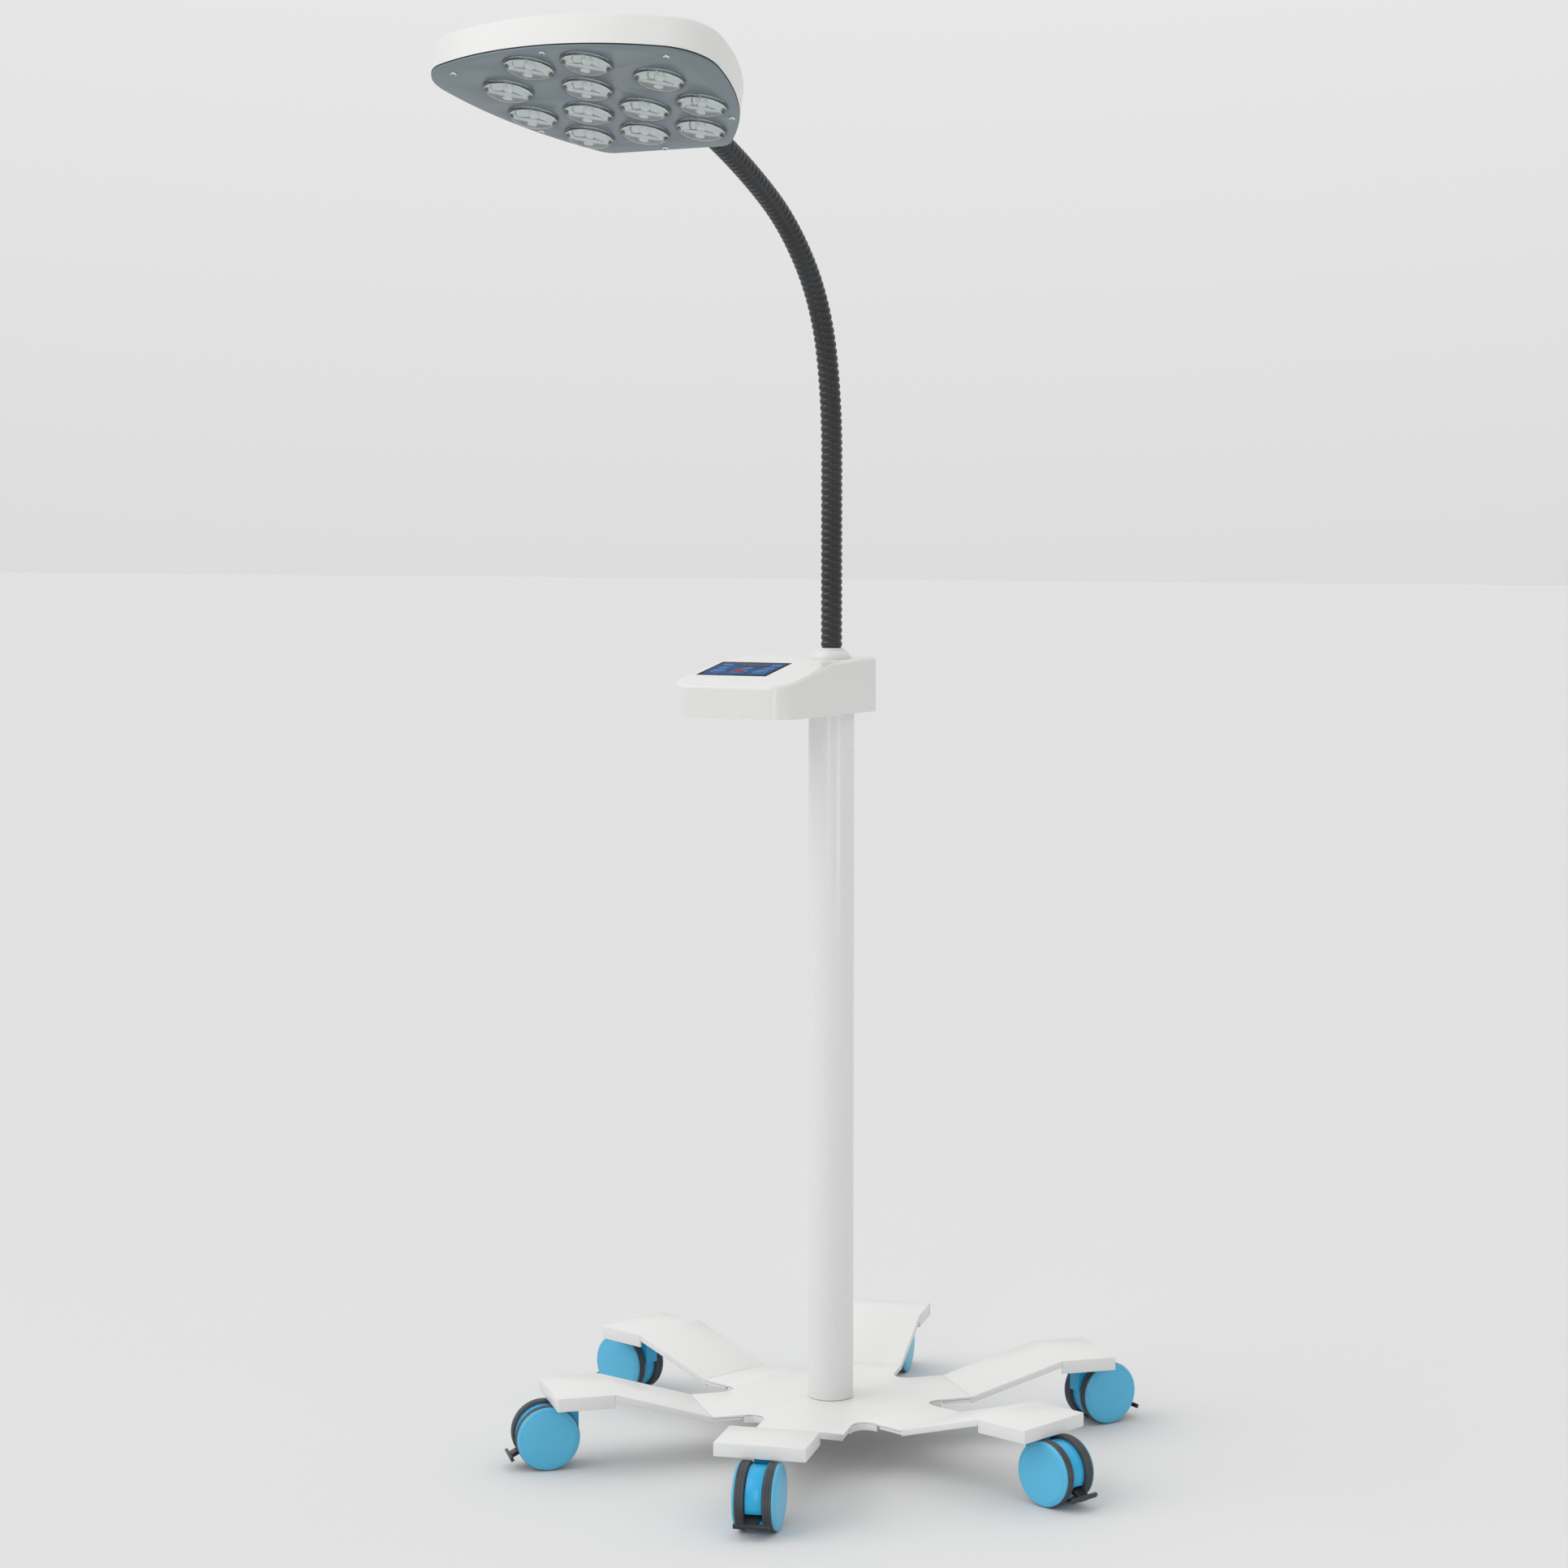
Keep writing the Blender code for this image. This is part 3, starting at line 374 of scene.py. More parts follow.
# ---------------------------------------------------------------- finishes
class Recipe:
    """Builds one node material step by step on object coordinates."""

    def __init__(self, name: str) -> None:
        """Start a material with one Principled shader."""
        self.material = bpy.data.materials.new(name)
        self.material.use_nodes = True
        self.tree = self.material.node_tree
        self.shader = self.tree.nodes["Principled BSDF"]
        self.space = self.tree.nodes.new("ShaderNodeTexCoord").outputs["Object"]

    def stretched(self, scale: Sequence[float]) -> bpy.types.NodeSocket:
        """Object coordinates, stretched along the axes."""
        mapping = self.tree.nodes.new("ShaderNodeMapping")
        mapping.inputs["Scale"].default_value = scale
        self.tree.links.new(self.space, mapping.inputs["Vector"])
        return mapping.outputs["Vector"]

    def noise(self, scale: float, detail: float = 3.0, space: bpy.types.NodeSocket | None = None
              ) -> bpy.types.NodeSocket:
        """Soft noise; scale is in patches for each metre."""
        node = self.tree.nodes.new("ShaderNodeTexNoise")
        node.inputs["Scale"].default_value = scale
        node.inputs["Detail"].default_value = detail
        self.tree.links.new(space or self.space, node.inputs["Vector"])
        return node.outputs["Fac"]

    def cells(self, scale: float) -> bpy.types.NodeSocket:
        """Distance to the nearest of many random points, for moulded grain."""
        node = self.tree.nodes.new("ShaderNodeTexVoronoi")
        node.inputs["Scale"].default_value = scale
        self.tree.links.new(self.space, node.inputs["Vector"])
        return node.outputs["Distance"]

    def remapped(self, value: bpy.types.NodeSocket, low: float, high: float) -> bpy.types.NodeSocket:
        """The middle of a noise's range spread from low to high."""
        node = self.tree.nodes.new("ShaderNodeMapRange")
        node.interpolation_type = "SMOOTHERSTEP"
        node.inputs["From Min"].default_value = 0.2
        node.inputs["From Max"].default_value = 0.8
        node.inputs["To Min"].default_value = low
        node.inputs["To Max"].default_value = high
        self.tree.links.new(value, node.inputs["Value"])
        return node.outputs["Result"]

    def blended(self, share: bpy.types.NodeSocket, first: Colour, second: Colour) -> bpy.types.NodeSocket:
        """A colour between two, by a share."""
        node = self.tree.nodes.new("ShaderNodeMix")
        node.data_type = "RGBA"
        sockets = {socket.identifier: socket for socket in node.inputs}
        sockets["A_Color"].default_value = (*first, 1)
        sockets["B_Color"].default_value = (*second, 1)
        self.tree.links.new(share, sockets["Factor_Float"])
        return {socket.identifier: socket for socket in node.outputs}["Result_Color"]

    def wire(self, value: bpy.types.NodeSocket, socket: str) -> None:
        """Lead a value into the shader."""
        self.tree.links.new(value, self.shader.inputs[socket])

    def tint(self, pattern: bpy.types.NodeSocket, first: Colour, second: Colour) -> None:
        """A colour that drifts from one to another with a pattern."""
        self.wire(self.blended(self.remapped(pattern, 0.0, 1.0), first, second), "Base Color")

    def dull(self, pattern: bpy.types.NodeSocket, low: float, high: float) -> None:
        """A roughness that drifts between two values with a pattern."""
        self.wire(self.remapped(pattern, low, high), "Roughness")

    def relief(self, pattern: bpy.types.NodeSocket, depth: float) -> None:
        """A pattern raised by a depth in metres."""
        node = self.tree.nodes.new("ShaderNodeBump")
        node.inputs["Strength"].default_value = 1.0
        node.inputs["Distance"].default_value = depth
        self.tree.links.new(pattern, node.inputs["Height"])
        self.wire(node.outputs["Normal"], "Normal")

    def fixed(self, **values: float) -> None:
        """Set the shader's own sockets; an underscore stands for a space."""
        for key, value in values.items():
            self.shader.inputs[key.replace("_", " ")].default_value = value


@dataclass(frozen=True)
class Coating:
    """Powder paint: faint mottling of tone and gloss, and orange peel."""

    name: str
    colour: Colour
    shade: Colour
    roughness: float = 0.34
    peel: float = 0.000012
    peel_scale: float = 520.0

    def material(self) -> bpy.types.Material:
        """The node material."""
        recipe = Recipe(self.name)
        recipe.tint(recipe.noise(5.0, 1.0), self.colour, self.shade)
        recipe.dull(recipe.noise(12.0, 1.0), self.roughness - 0.01, self.roughness + 0.02)
        recipe.relief(recipe.noise(self.peel_scale, 2.0), self.peel)
        recipe.fixed(Coat_Weight=0.2, Coat_Roughness=0.2, Specular_IOR_Level=0.5)
        return recipe.material


@dataclass(frozen=True)
class Moulding:
    """Injection-moulded plastic: even colour and a fine spark grain."""

    name: str
    colour: Colour
    shade: Colour
    roughness: float = 0.32
    grain: float = 0.00001
    grain_scale: float = 1500.0
    gloss: float = 0.15

    def material(self) -> bpy.types.Material:
        """The node material."""
        recipe = Recipe(self.name)
        recipe.tint(recipe.noise(8.0, 1.0), self.colour, self.shade)
        recipe.dull(recipe.noise(15.0, 1.0), self.roughness - 0.01, self.roughness + 0.02)
        recipe.relief(recipe.cells(self.grain_scale), self.grain)
        recipe.fixed(Coat_Weight=self.gloss, Coat_Roughness=0.18)
        return recipe.material


@dataclass(frozen=True)
class Rubbery:
    """Matt rubber: dusty lighter patches over a dark body and a pebbled skin."""

    name: str
    colour: Colour
    dust: Colour
    roughness: float = 0.62

    def material(self) -> bpy.types.Material:
        """The node material."""
        recipe = Recipe(self.name)
        recipe.tint(recipe.noise(45.0, 6.0), self.colour, self.dust)
        recipe.dull(recipe.noise(130.0, 4.0), self.roughness - 0.08, self.roughness + 0.1)
        recipe.relief(recipe.noise(1100.0, 3.0), 0.00005)
        recipe.fixed(Specular_IOR_Level=0.35, Sheen_Weight=0.08)
        return recipe.material


@dataclass(frozen=True)
class Film:
    """Printed polyester film of a keypad: matt ink with soft cloudy tone and a faint leather grain."""

    name: str
    colour: Colour
    shade: Colour
    roughness: float = 0.55

    def material(self) -> bpy.types.Material:
        """The node material."""
        recipe = Recipe(self.name)
        recipe.tint(recipe.noise(60.0, 2.0), self.colour, self.shade)
        recipe.dull(recipe.noise(200.0, 3.0), self.roughness - 0.05, self.roughness + 0.08)
        recipe.relief(recipe.noise(2400.0, 1.0), 0.00001)
        recipe.fixed(Specular_IOR_Level=0.12)
        return recipe.material


@dataclass(frozen=True)
class Metal:
    """Bare metal with fine lines that run across the stretched axis."""

    name: str
    colour: Colour
    roughness: float
    lines: tuple[float, float, float] = (1.0, 1.0, 60.0)

    def material(self) -> bpy.types.Material:
        """The node material."""
        recipe = Recipe(self.name)
        brushed = recipe.noise(90.0, 4.0, recipe.stretched(self.lines))
        recipe.tint(brushed, self.colour, tuple(0.8 * part for part in self.colour))
        recipe.dull(brushed, self.roughness - 0.07, self.roughness + 0.08)
        recipe.relief(brushed, 0.00002)
        recipe.fixed(Metallic=1.0)
        return recipe.material


@dataclass(frozen=True)
class Mirror:
    """Grey vacuum-plated plastic with a slow change of tone."""

    name: str
    colour: Colour
    roughness: float = 0.18

    def material(self) -> bpy.types.Material:
        """The node material."""
        recipe = Recipe(self.name)
        slow = recipe.noise(22.0, 1.0)
        recipe.tint(slow, self.colour, tuple(0.85 * part for part in self.colour))
        recipe.dull(slow, self.roughness, self.roughness + 0.05)
        recipe.fixed(Metallic=1.0)
        return recipe.material


@dataclass(frozen=True)
class ClearDome:
    """Clear moulded lens: tinted glassy plastic with a slow change of tint and a trace of haze."""

    name: str
    colour: Colour
    haze: float = 0.06

    def material(self) -> bpy.types.Material:
        """The node material."""
        recipe = Recipe(self.name)
        recipe.tint(recipe.noise(30.0, 1.0), self.colour, tuple(0.95 * part for part in self.colour))
        recipe.dull(recipe.noise(45.0, 1.0), self.haze, self.haze + 0.03)
        recipe.fixed(Transmission_Weight=1.0, IOR=1.49)
        return recipe.material


class Palette:
    """Every finish of the light, made once."""

    def __init__(self) -> None:
        """Make the materials."""
        white, warm = (0.76, 0.76, 0.75), (0.756, 0.756, 0.744)
        self.base = Coating("powder_white_base", white, warm, 0.36).material()
        self.pole = Coating("gloss_white_pole", (0.77, 0.775, 0.77), (0.767, 0.770, 0.764), 0.27).material()
        self.shell = Moulding("moulded_white_shell", (0.765, 0.765, 0.75), (0.761, 0.761, 0.744)).material()
        box_white, box_shade = (0.755, 0.758, 0.745), (0.751, 0.753, 0.739)
        self.box = Moulding("moulded_white_box", box_white, box_shade, 0.28).material()
        self.face = Moulding("blue_grey_face", (0.155, 0.200, 0.225), (0.140, 0.182, 0.205), 0.42).material()
        self.gasket = Rubbery("dark_gasket", (0.010, 0.012, 0.014), (0.02, 0.022, 0.025)).material()
        self.dome = ClearDome("clear_dome", (0.60, 0.67, 0.67)).material()
        self.reflector = Mirror("reflector_grey", (0.20, 0.22, 0.225), 0.28).material()
        self.die = Moulding("led_die", (0.93, 0.92, 0.84), (0.90, 0.88, 0.76), 0.4).material()
        self.neck = Moulding("neck_black_coat", (0.008, 0.009, 0.011), (0.013, 0.0145, 0.017), 0.4).material()
        self.steel = Metal("zinc_steel", (0.56, 0.56, 0.57), 0.34).material()
        self.screw = Metal("bright_screw", (0.72, 0.73, 0.74), 0.22, (1.0, 1.0, 1.0)).material()
        blue, deep = (0.016, 0.44, 0.78), (0.014, 0.40, 0.73)
        self.housing = Moulding("caster_bright_blue", blue, deep, 0.3).material()
        self.cap = Moulding("cap_sky_blue", (0.095, 0.50, 0.75), (0.085, 0.46, 0.71), 0.34).material()
        self.tread = Rubbery("tread_grey", (0.055, 0.058, 0.064), (0.075, 0.079, 0.086)).material()
        nylon, worn = (0.012, 0.012, 0.014), (0.02, 0.02, 0.022)
        self.pedal = Moulding("pedal_black_nylon", nylon, worn, 0.42).material()
        self.tab = Moulding("pedal_tab_grey", (0.10, 0.105, 0.11), (0.13, 0.135, 0.14), 0.4).material()
        self.border = Film("keypad_navy", (0.006, 0.009, 0.018), (0.009, 0.013, 0.026)).material()
        self.field = Film("keypad_mid_blue", (0.010, 0.052, 0.17), (0.014, 0.078, 0.24)).material()
        self.patch = Film("keypad_light_blue", (0.06, 0.17, 0.36), (0.08, 0.21, 0.42)).material()
        glass, glint = (0.003, 0.003, 0.004), (0.006, 0.006, 0.008)
        self.window = Film("keypad_black_window", glass, glint, 0.35).material()
        self.red = Film("button_red", (0.36, 0.022, 0.035), (0.29, 0.018, 0.03)).material()
        self.button = Film("button_blue", (0.06, 0.16, 0.36), (0.08, 0.20, 0.42)).material()
        self.board = Moulding("board_green", (0.015, 0.14, 0.05), (0.02, 0.19, 0.07), 0.5).material()
        self.module = Moulding("module_grey", (0.23, 0.23, 0.24), (0.20, 0.20, 0.21), 0.5).material()
        self.inlet = Moulding("inlet_black", (0.015, 0.015, 0.016), (0.022, 0.022, 0.024), 0.42).material()


def dress(piece: bpy.types.Object, finish: bpy.types.Material, body: str, smooth: float = 35.0
          ) -> bpy.types.Object:
    """Give a finished piece its material, shading and body.

    Args:
        piece: The finished mesh, at the origin.
        finish: Its material.
        body: The body it moves with, or "" to attach it to none.
        smooth: Edges flatter than this, in degrees, are shaded smooth.

    Returns:
        The same object.
    """
    piece.data.materials.clear()
    piece.data.materials.append(finish)
    only(piece)
    bpy.ops.object.shade_smooth_by_angle(angle=math.radians(smooth))
    if body:
        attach(piece, body)
    log.info("%s: %d faces", piece.name, len(piece.data.polygons))
    return piece


def repaint(node: str, finish: bpy.types.Material) -> None:
    """Give a frame node that stays in view its finished material."""
    nodes = bpy.data.objects[node]
    nodes.data.materials.clear()
    nodes.data.materials.append(finish)


def pan_screw(name: str, head: float) -> bpy.types.Object:
    """A pan-head screw's head with a cross recess, standing on Z = 0 and pointing up.

    Args:
        name: The piece's name.
        head: Radius of its head.

    Returns:
        The new object.
    """
    height, slot_w, slot_l = 0.62 * head, 0.34 * head, 1.24 * head
    dome = ((1.0, 0.0), (1.0, 0.3), (0.92, 0.6), (0.72, 0.85), (0.40, 0.97), (0.05, 1.0))
    screw = turned(name, [(wide * head, high * height) for wide, high in dome], 24)
    low, top = 0.45 * height, height + 0.001
    return carve(screw, [slab("recess", size, low, top) for size in ((slot_l, slot_w), (slot_w, slot_l))])


def hex_head(name: str, radius: float, height: float) -> bpy.types.Object:
    """A hexagon bolt head or nut with chamfered corners on a washer face, standing on Z = 0."""
    bpy.ops.mesh.primitive_cylinder_add(vertices=6, radius=radius, depth=height, location=(0, 0, height / 2))
    piece = rounded(settle(fresh(name)), 0.09 * radius, 2)
    outer, thick = 1.5 * radius, 0.0013
    profile = ((outer, 0), (outer, 0.0010), (1.42 * radius, thick), (radius, thick))
    washer = turned("washer", profile, 32)
    return carve(piece, [washer], join=True)


# ---------------------------------------------------------------- the base
@dataclass
class Base:
    """Pressed hub star with six channel legs, and the bolts that hold them."""

    palette: Palette
    centre: Vector
    legs: int = 6
    first_azimuth: float = -75.5
    sheet: float = 0.003
    half_width: float = 0.0525
    tip: float = 0.3453
    bend: float = 0.2765
    pad_top: float = 0.0925
    skirt: float = 0.016
    slope_lip: float = 0.008
    hub_reach: float = 0.160
    hub_top: float = 0.0575
    fillet: float = 0.018
    lip: float = 0.010
    tab_length: float = 0.034
    stem_radius: float = 0.322
    stem_bore: float = 0.0059
    socket_wall: float = 0.0045
    socket_height: float = 0.010
    edge: float = 0.0009
    bolt: float = 0.0058
    bolt_h: float = 0.0042
    bolt_inset: float = 0.016
    bolt_y: float = 0.030

    def azimuth(self, k: int) -> float:
        """Direction of a leg, in degrees."""
        return self.first_azimuth + k * 360 / self.legs

    def placed(self, k: int) -> Matrix:
        """From a leg that lies along +X to leg number k."""
        return Matrix.Translation(self.centre) @ turn(self.azimuth(k), "Z")

    def hub(self) -> None:
        """The flat star: a hexagon whose sides are drawn out, with round notches between them."""
        half_slice = math.pi / self.legs
        corner, middle_z = self.half_width / math.sin(half_slice), self.hub_top - self.sheet / 2
        start = math.radians(self.first_azimuth - 90) + half_slice
        bpy.ops.mesh.primitive_cylinder_add(vertices=self.legs, radius=corner, depth=self.sheet,
                                            location=(0, 0, middle_z), rotation=(0, 0, start))
        star = settle(fresh("hub_star"))
        reach = self.hub_reach - corner * math.cos(half_slice)
        with shaping(star):
            for k in range(self.legs):
                way = turn(self.azimuth(k), "Z").to_3x3() @ Vector((1, 0, 0))
                choose(star, Part.FACES, lambda face, middle: face.normal.dot(way) > 0.99)
                pull(reach * way.x, reach * way.y)
            bpy.ops.mesh.select_all(action="SELECT")
            bpy.ops.mesh.dissolve_limited(angle_limit=math.radians(1))
            choose(star, Part.EDGES, lambda edge, middle: abs(middle.to_2d().length - corner) < 0.001
                   and rise(edge) > self.sheet / 2)
            bpy.ops.mesh.bevel(offset=self.fillet / math.tan(half_slice), segments=12, affect="EDGES",
                               clamp_overlap=False)
        lips = self.lips(star, corner)
        rounded(star, self.edge, 3)
        settle(star, Matrix.Translation(self.centre))
        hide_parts("hub_plate")
        dress(lips, self.palette.base, "stand")
        dress(star, self.palette.base, "stand")

    def lips(self, star: bpy.types.Object, corner: float) -> bpy.types.Object:
        """The folded lips that stiffen the star's notches.

        Args:
            star: The finished star, from whose notch walls the lips are drawn down.
            corner: How far from the pole's axis the sharp notch corners would be.

        Returns:
            The lips as one object.
        """
        limit = corner + 2.2 * self.fillet
        with shaping(star):
            choose(star, Part.FACES, lambda face, middle: abs(face.normal.z) < 0.1
                   and middle.to_2d().length < limit)
            bpy.ops.mesh.duplicate()
            bpy.ops.mesh.separate(type="SELECTED")
        lips = next(item for item in bpy.context.selected_objects if item is not star)
        only(lips)
        lips.name = "hub_lips"
        with shaping(lips, Part.VERTS):
            choose(lips, Part.VERTS, lambda vertex, middle: middle.z < self.hub_top - self.sheet / 2)
            shift(z=self.sheet - self.lip)
            choose(lips, Part.VERTS, lambda vertex, middle: middle.z > self.hub_top - self.sheet / 2)
            shift(z=-self.edge)
        applied(lips, "SOLIDIFY", thickness=self.sheet, offset=-1)
        rounded(lips, self.edge / 2, 2, 50)
        return settle(lips, Matrix.Translation(self.centre))

    def leg(self) -> bpy.types.Object:
        """One leg along +X: a strip drawn out from tab to pad, its edges folded down, then made thick."""
        fold, tab_top = self.hub_reach + GAP, self.hub_top - self.sheet - GAP
        start = fold - self.tab_length
        bpy.ops.mesh.primitive_plane_add(size=1, location=((start + fold) / 2, 0, tab_top))
        strip = fresh("leg")
        strip.scale = (self.tab_length, 2 * self.half_width, 1)
        settle(strip)
        with shaping(strip, Part.EDGES):
            choose(strip, Part.EDGES, lambda edge, middle: middle.x > fold - NEAR)
            pull(z=self.hub_top - tab_top)
            pull(x=self.bend - fold, z=self.pad_top - self.hub_top)
            pull(x=self.tip - self.bend)
            choose(strip, Part.EDGES, lambda edge, middle: abs(middle.y) > self.half_width - NEAR
                   and fold + 0.01 < middle.x < self.bend - 0.01)
            pull(z=-self.slope_lip)
            choose(strip, Part.EDGES, lambda edge, middle: middle.z > self.pad_top - NEAR
                   and (middle.x > self.tip - NEAR or abs(middle.y) > self.half_width - NEAR))
            pull(z=-self.skirt)
        applied(strip, "SOLIDIFY", thickness=self.sheet, offset=-1, use_even_offset=True)
        return rounded(strip, self.edge, 3)

    def socket(self) -> bpy.types.Object:
        """The round socket under a pad that takes a caster's stem."""
        top = self.pad_top - self.sheet
        low, outer, soft = top - self.socket_height, self.stem_bore + self.socket_wall, 0.0006
        profile = ((self.stem_bore, top), (self.stem_bore, low), (outer - soft, low), (outer, low + soft),
                   (outer, top))
        ring = turned("stem_socket", profile, 36, Ends.RING)
        return settle(ring, Matrix.Translation((self.stem_radius, 0, 0)))

    def build(self) -> None:
        """Hub, legs, sockets and bolts."""
        self.hub()
        leg, socket = self.leg(), self.socket()
        under = self.hub_top - 2 * self.sheet - GAP
        bolt = settle(hex_head("bolt", self.bolt, self.bolt_h), turn(180, "X"))
        for k in range(self.legs):
            piece = twin(leg, f"pressed_leg_{k + 1}", self.placed(k))
            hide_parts(f"leg_{k + 1}")
            dress(piece, self.palette.base, "stand")
            dress(twin(socket, f"stem_socket_{k + 1}", self.placed(k)), self.palette.base, "stand")
            for side, y in (("right", -self.bolt_y), ("left", self.bolt_y)):
                spot = Matrix.Translation((self.hub_reach - self.bolt_inset, y, under))
                piece = twin(bolt, f"leg_{k + 1}_bolt_{side}", self.placed(k) @ spot)
                dress(piece, self.palette.steel, "stand")
        drop(leg, socket, bolt)


@dataclass
class Pole:
    """The round pole, its foot nut and the plug inside it."""

    palette: Palette
    centre: Vector
    radius: float = 0.027
    edge: float = 0.0012
    nut: float = 0.0095
    nut_h: float = 0.008

    def build(self) -> None:
        """Pole tube, nut and plug."""
        low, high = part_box("pole")
        inner = self.radius - self.edge
        profile = ((inner, low.z), (self.radius - 0.3 * self.edge, low.z + 0.3 * self.edge),
                   (self.radius, low.z + self.edge), (self.radius, high.z - self.edge), (inner, high.z))
        tube = settle(turned("pole_tube", profile, 96), Matrix.Translation(self.centre))
        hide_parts("pole")
        dress(tube, self.palette.pole, "stand")
        hub_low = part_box("hub_plate")[1].z - Base.sheet
        under = Matrix.Translation(self.centre + Vector((0, 0, hub_low))) @ turn(180, "X")
        nut = settle(hex_head("pole_foot_nut", self.nut, self.nut_h), under)
        dress(nut, self.palette.steel, "stand")
        repaint("pole_foot_plug", self.palette.steel)


# ---------------------------------------------------------------- casters
@dataclass
class Caster:
    """Twin-wheel caster, modelled round its axle: +X away from the pole, +Y along the axle."""

    palette: Palette
    wheel_r: float = 0.0375
    wheel_w: float = 0.0155
    cap_w: float = 0.0052
    housing_r: float = 0.034
    housing_w: float = 0.0195
    wheel_gap: float = 0.0008
    trail: float = 0.027
    stem_r: float = 0.0055
    stem_top: float = 0.0513
    boss_r: float = 0.011
    boss_top: float = 0.0408
    pedal_angle: float = -28.0
    pedal_pivot: float = 0.0272
    pedal_notch: float = 0.021
    notch_half: float = 0.0046
    pedal_w: float = 0.040
    pedal_t: float = 0.0042
    pedal_reach: float = 0.0125
    tongue_w: float = 0.0156
    tab_half: float = 0.0062
    pattern: dict[str, bpy.types.Object] = field(default_factory=dict)

    def housing(self) -> bpy.types.Object:
        """Round fairing between the wheels with the stem's boss on it and a notch for the pedal."""
        half, soft, inset, past = self.housing_w / 2, 0.0012, 0.0004, 0.01
        disc = settle(turned("fairing", softened(self.housing_r, -half, half, soft), 72), across())
        size, at = (2 * self.boss_r, self.housing_w - 2 * inset), (-self.trail, 0.0)
        boss = slab("boss", size, 0.004, self.boss_top, at)
        with shaping(boss, Part.EDGES):
            choose(boss, Part.EDGES, lambda edge, middle: middle.z > self.boss_top - NEAR)
            bpy.ops.mesh.bevel(offset=0.003, segments=4, affect="EDGES")
        carve(disc, [boss], join=True)
        notch = block("notch", (self.pedal_notch, -half - past, -self.notch_half),
                      (self.housing_r + past, half + past, self.notch_half))
        return carve(disc, [settle(notch, turn(-self.pedal_angle, "Y"))])

    def stem(self) -> bpy.types.Object:
        """The steel stem that turns in the leg's socket."""
        r, top, soft = self.stem_r, self.stem_top, 0.0008
        profile = ((r, self.boss_top - 0.003), (r, top - soft), (r - soft, top))
        return settle(turned("stem", profile, 36), Matrix.Translation((-self.trail, 0, 0)))

    def tread(self) -> bpy.types.Object:
        """Both rubber treads with rounded shoulders and two fine grooves each."""
        inner = self.housing_w / 2 + self.wheel_gap
        outer = inner + self.wheel_w - self.cap_w
        groove, dip, soft, crisp, bore, r = 0.0006, 0.0005, 0.0014, 0.0004, 0.006, self.wheel_r
        profile = [(bore, inner), (r - soft, inner), (r - 0.3 * soft, inner + 0.3 * soft), (r, inner + soft)]
        for share in (0.36, 0.68):
            at = inner + share * (outer - inner)
            profile += [(r, at - groove), (r - dip, at - groove / 2)]
            profile += [(r - dip, at + groove / 2), (r, at + groove)]
        profile += [(r, outer - crisp), (r - crisp, outer), (bore, outer)]
        one = settle(turned("tread", profile, 96, Ends.RING), across())
        other = twin(one, "tread_far", turn(180, "Z"))
        return carve(one, [other], join=True)

    def cap(self) -> bpy.types.Object:
        """Both domed hub caps, each with a shallow ring line near its rim, and the axle between them."""
        outer = self.housing_w / 2 + self.wheel_gap + self.wheel_w
        inner = outer - self.cap_w
        rim = self.wheel_r - 0.0006
        shoulder = ((rim, 0.0), (rim, 0.0016), (rim - 0.0006, 0.0024), (rim - 0.0022, 0.0032))
        dome = ((0.90, 0.0036), (0.885, 0.0033), (0.87, 0.0038), (0.70, 0.0044), (0.50, 0.0048),
                (0.28, 0.0051), (0.06, self.cap_w))
        profile = shoulder + tuple((share * rim, out) for share, out in dome)
        one = settle(turned("cap", [(r, inner + out) for r, out in profile], 96), across())
        other = twin(one, "cap_far", turn(180, "Z"))
        axle = settle(bar("axle", 0.004, -inner - 0.001, inner + 0.001), across())
        return carve(one, [other, axle], join=True)

    def pedal(self) -> tuple[bpy.types.Object, bpy.types.Object]:
        """The pedal's tongue with its wide bar, and the lighter tab under the bar."""
        bar_at = self.wheel_r + self.pedal_reach - self.pedal_t
        half_t, half_w, step = self.pedal_t / 2, self.tongue_w / 2, 0.0001
        tongue = block("pedal", (self.pedal_pivot - 0.0045, -half_w, -half_t), (bar_at, half_w, half_t))
        with shaping(tongue):
            choose(tongue, Part.FACES, lambda face, middle: middle.x > bar_at - NEAR)
            pull(x=step)
            wider = self.pedal_w / self.tongue_w
            bpy.ops.transform.resize(value=(1, wider, 1), center_override=(bar_at, 0, 0))
            pull(x=self.pedal_t - step)
            bpy.ops.mesh.inset(thickness=0.0006)
        with shaping(tongue):
            choose(tongue, Part.FACES, lambda face, middle: face.normal.z > 0.9 and middle.x > bar_at)
            bpy.ops.mesh.inset(thickness=0.0008, depth=0.0009)
        rounded(tongue, 0.0006, 2, 40)
        tab = block("tab", (bar_at + 0.0002, -self.tab_half, -half_t - 0.0022),
                    (bar_at + self.pedal_t - 0.0006, self.tab_half, -half_t + 0.0006))
        rounded(tab, 0.0007, 2, 40)
        tilt = turn(-self.pedal_angle, "Y")
        return settle(tongue, tilt), settle(tab, tilt)

    def model(self) -> None:
        """Model one of each piece."""
        pedal, tab = self.pedal()
        self.pattern = {"housing": self.housing(), "stem": self.stem(), "tread": self.tread(),
                        "cap": self.cap(), "pedal": pedal, "tab": tab}

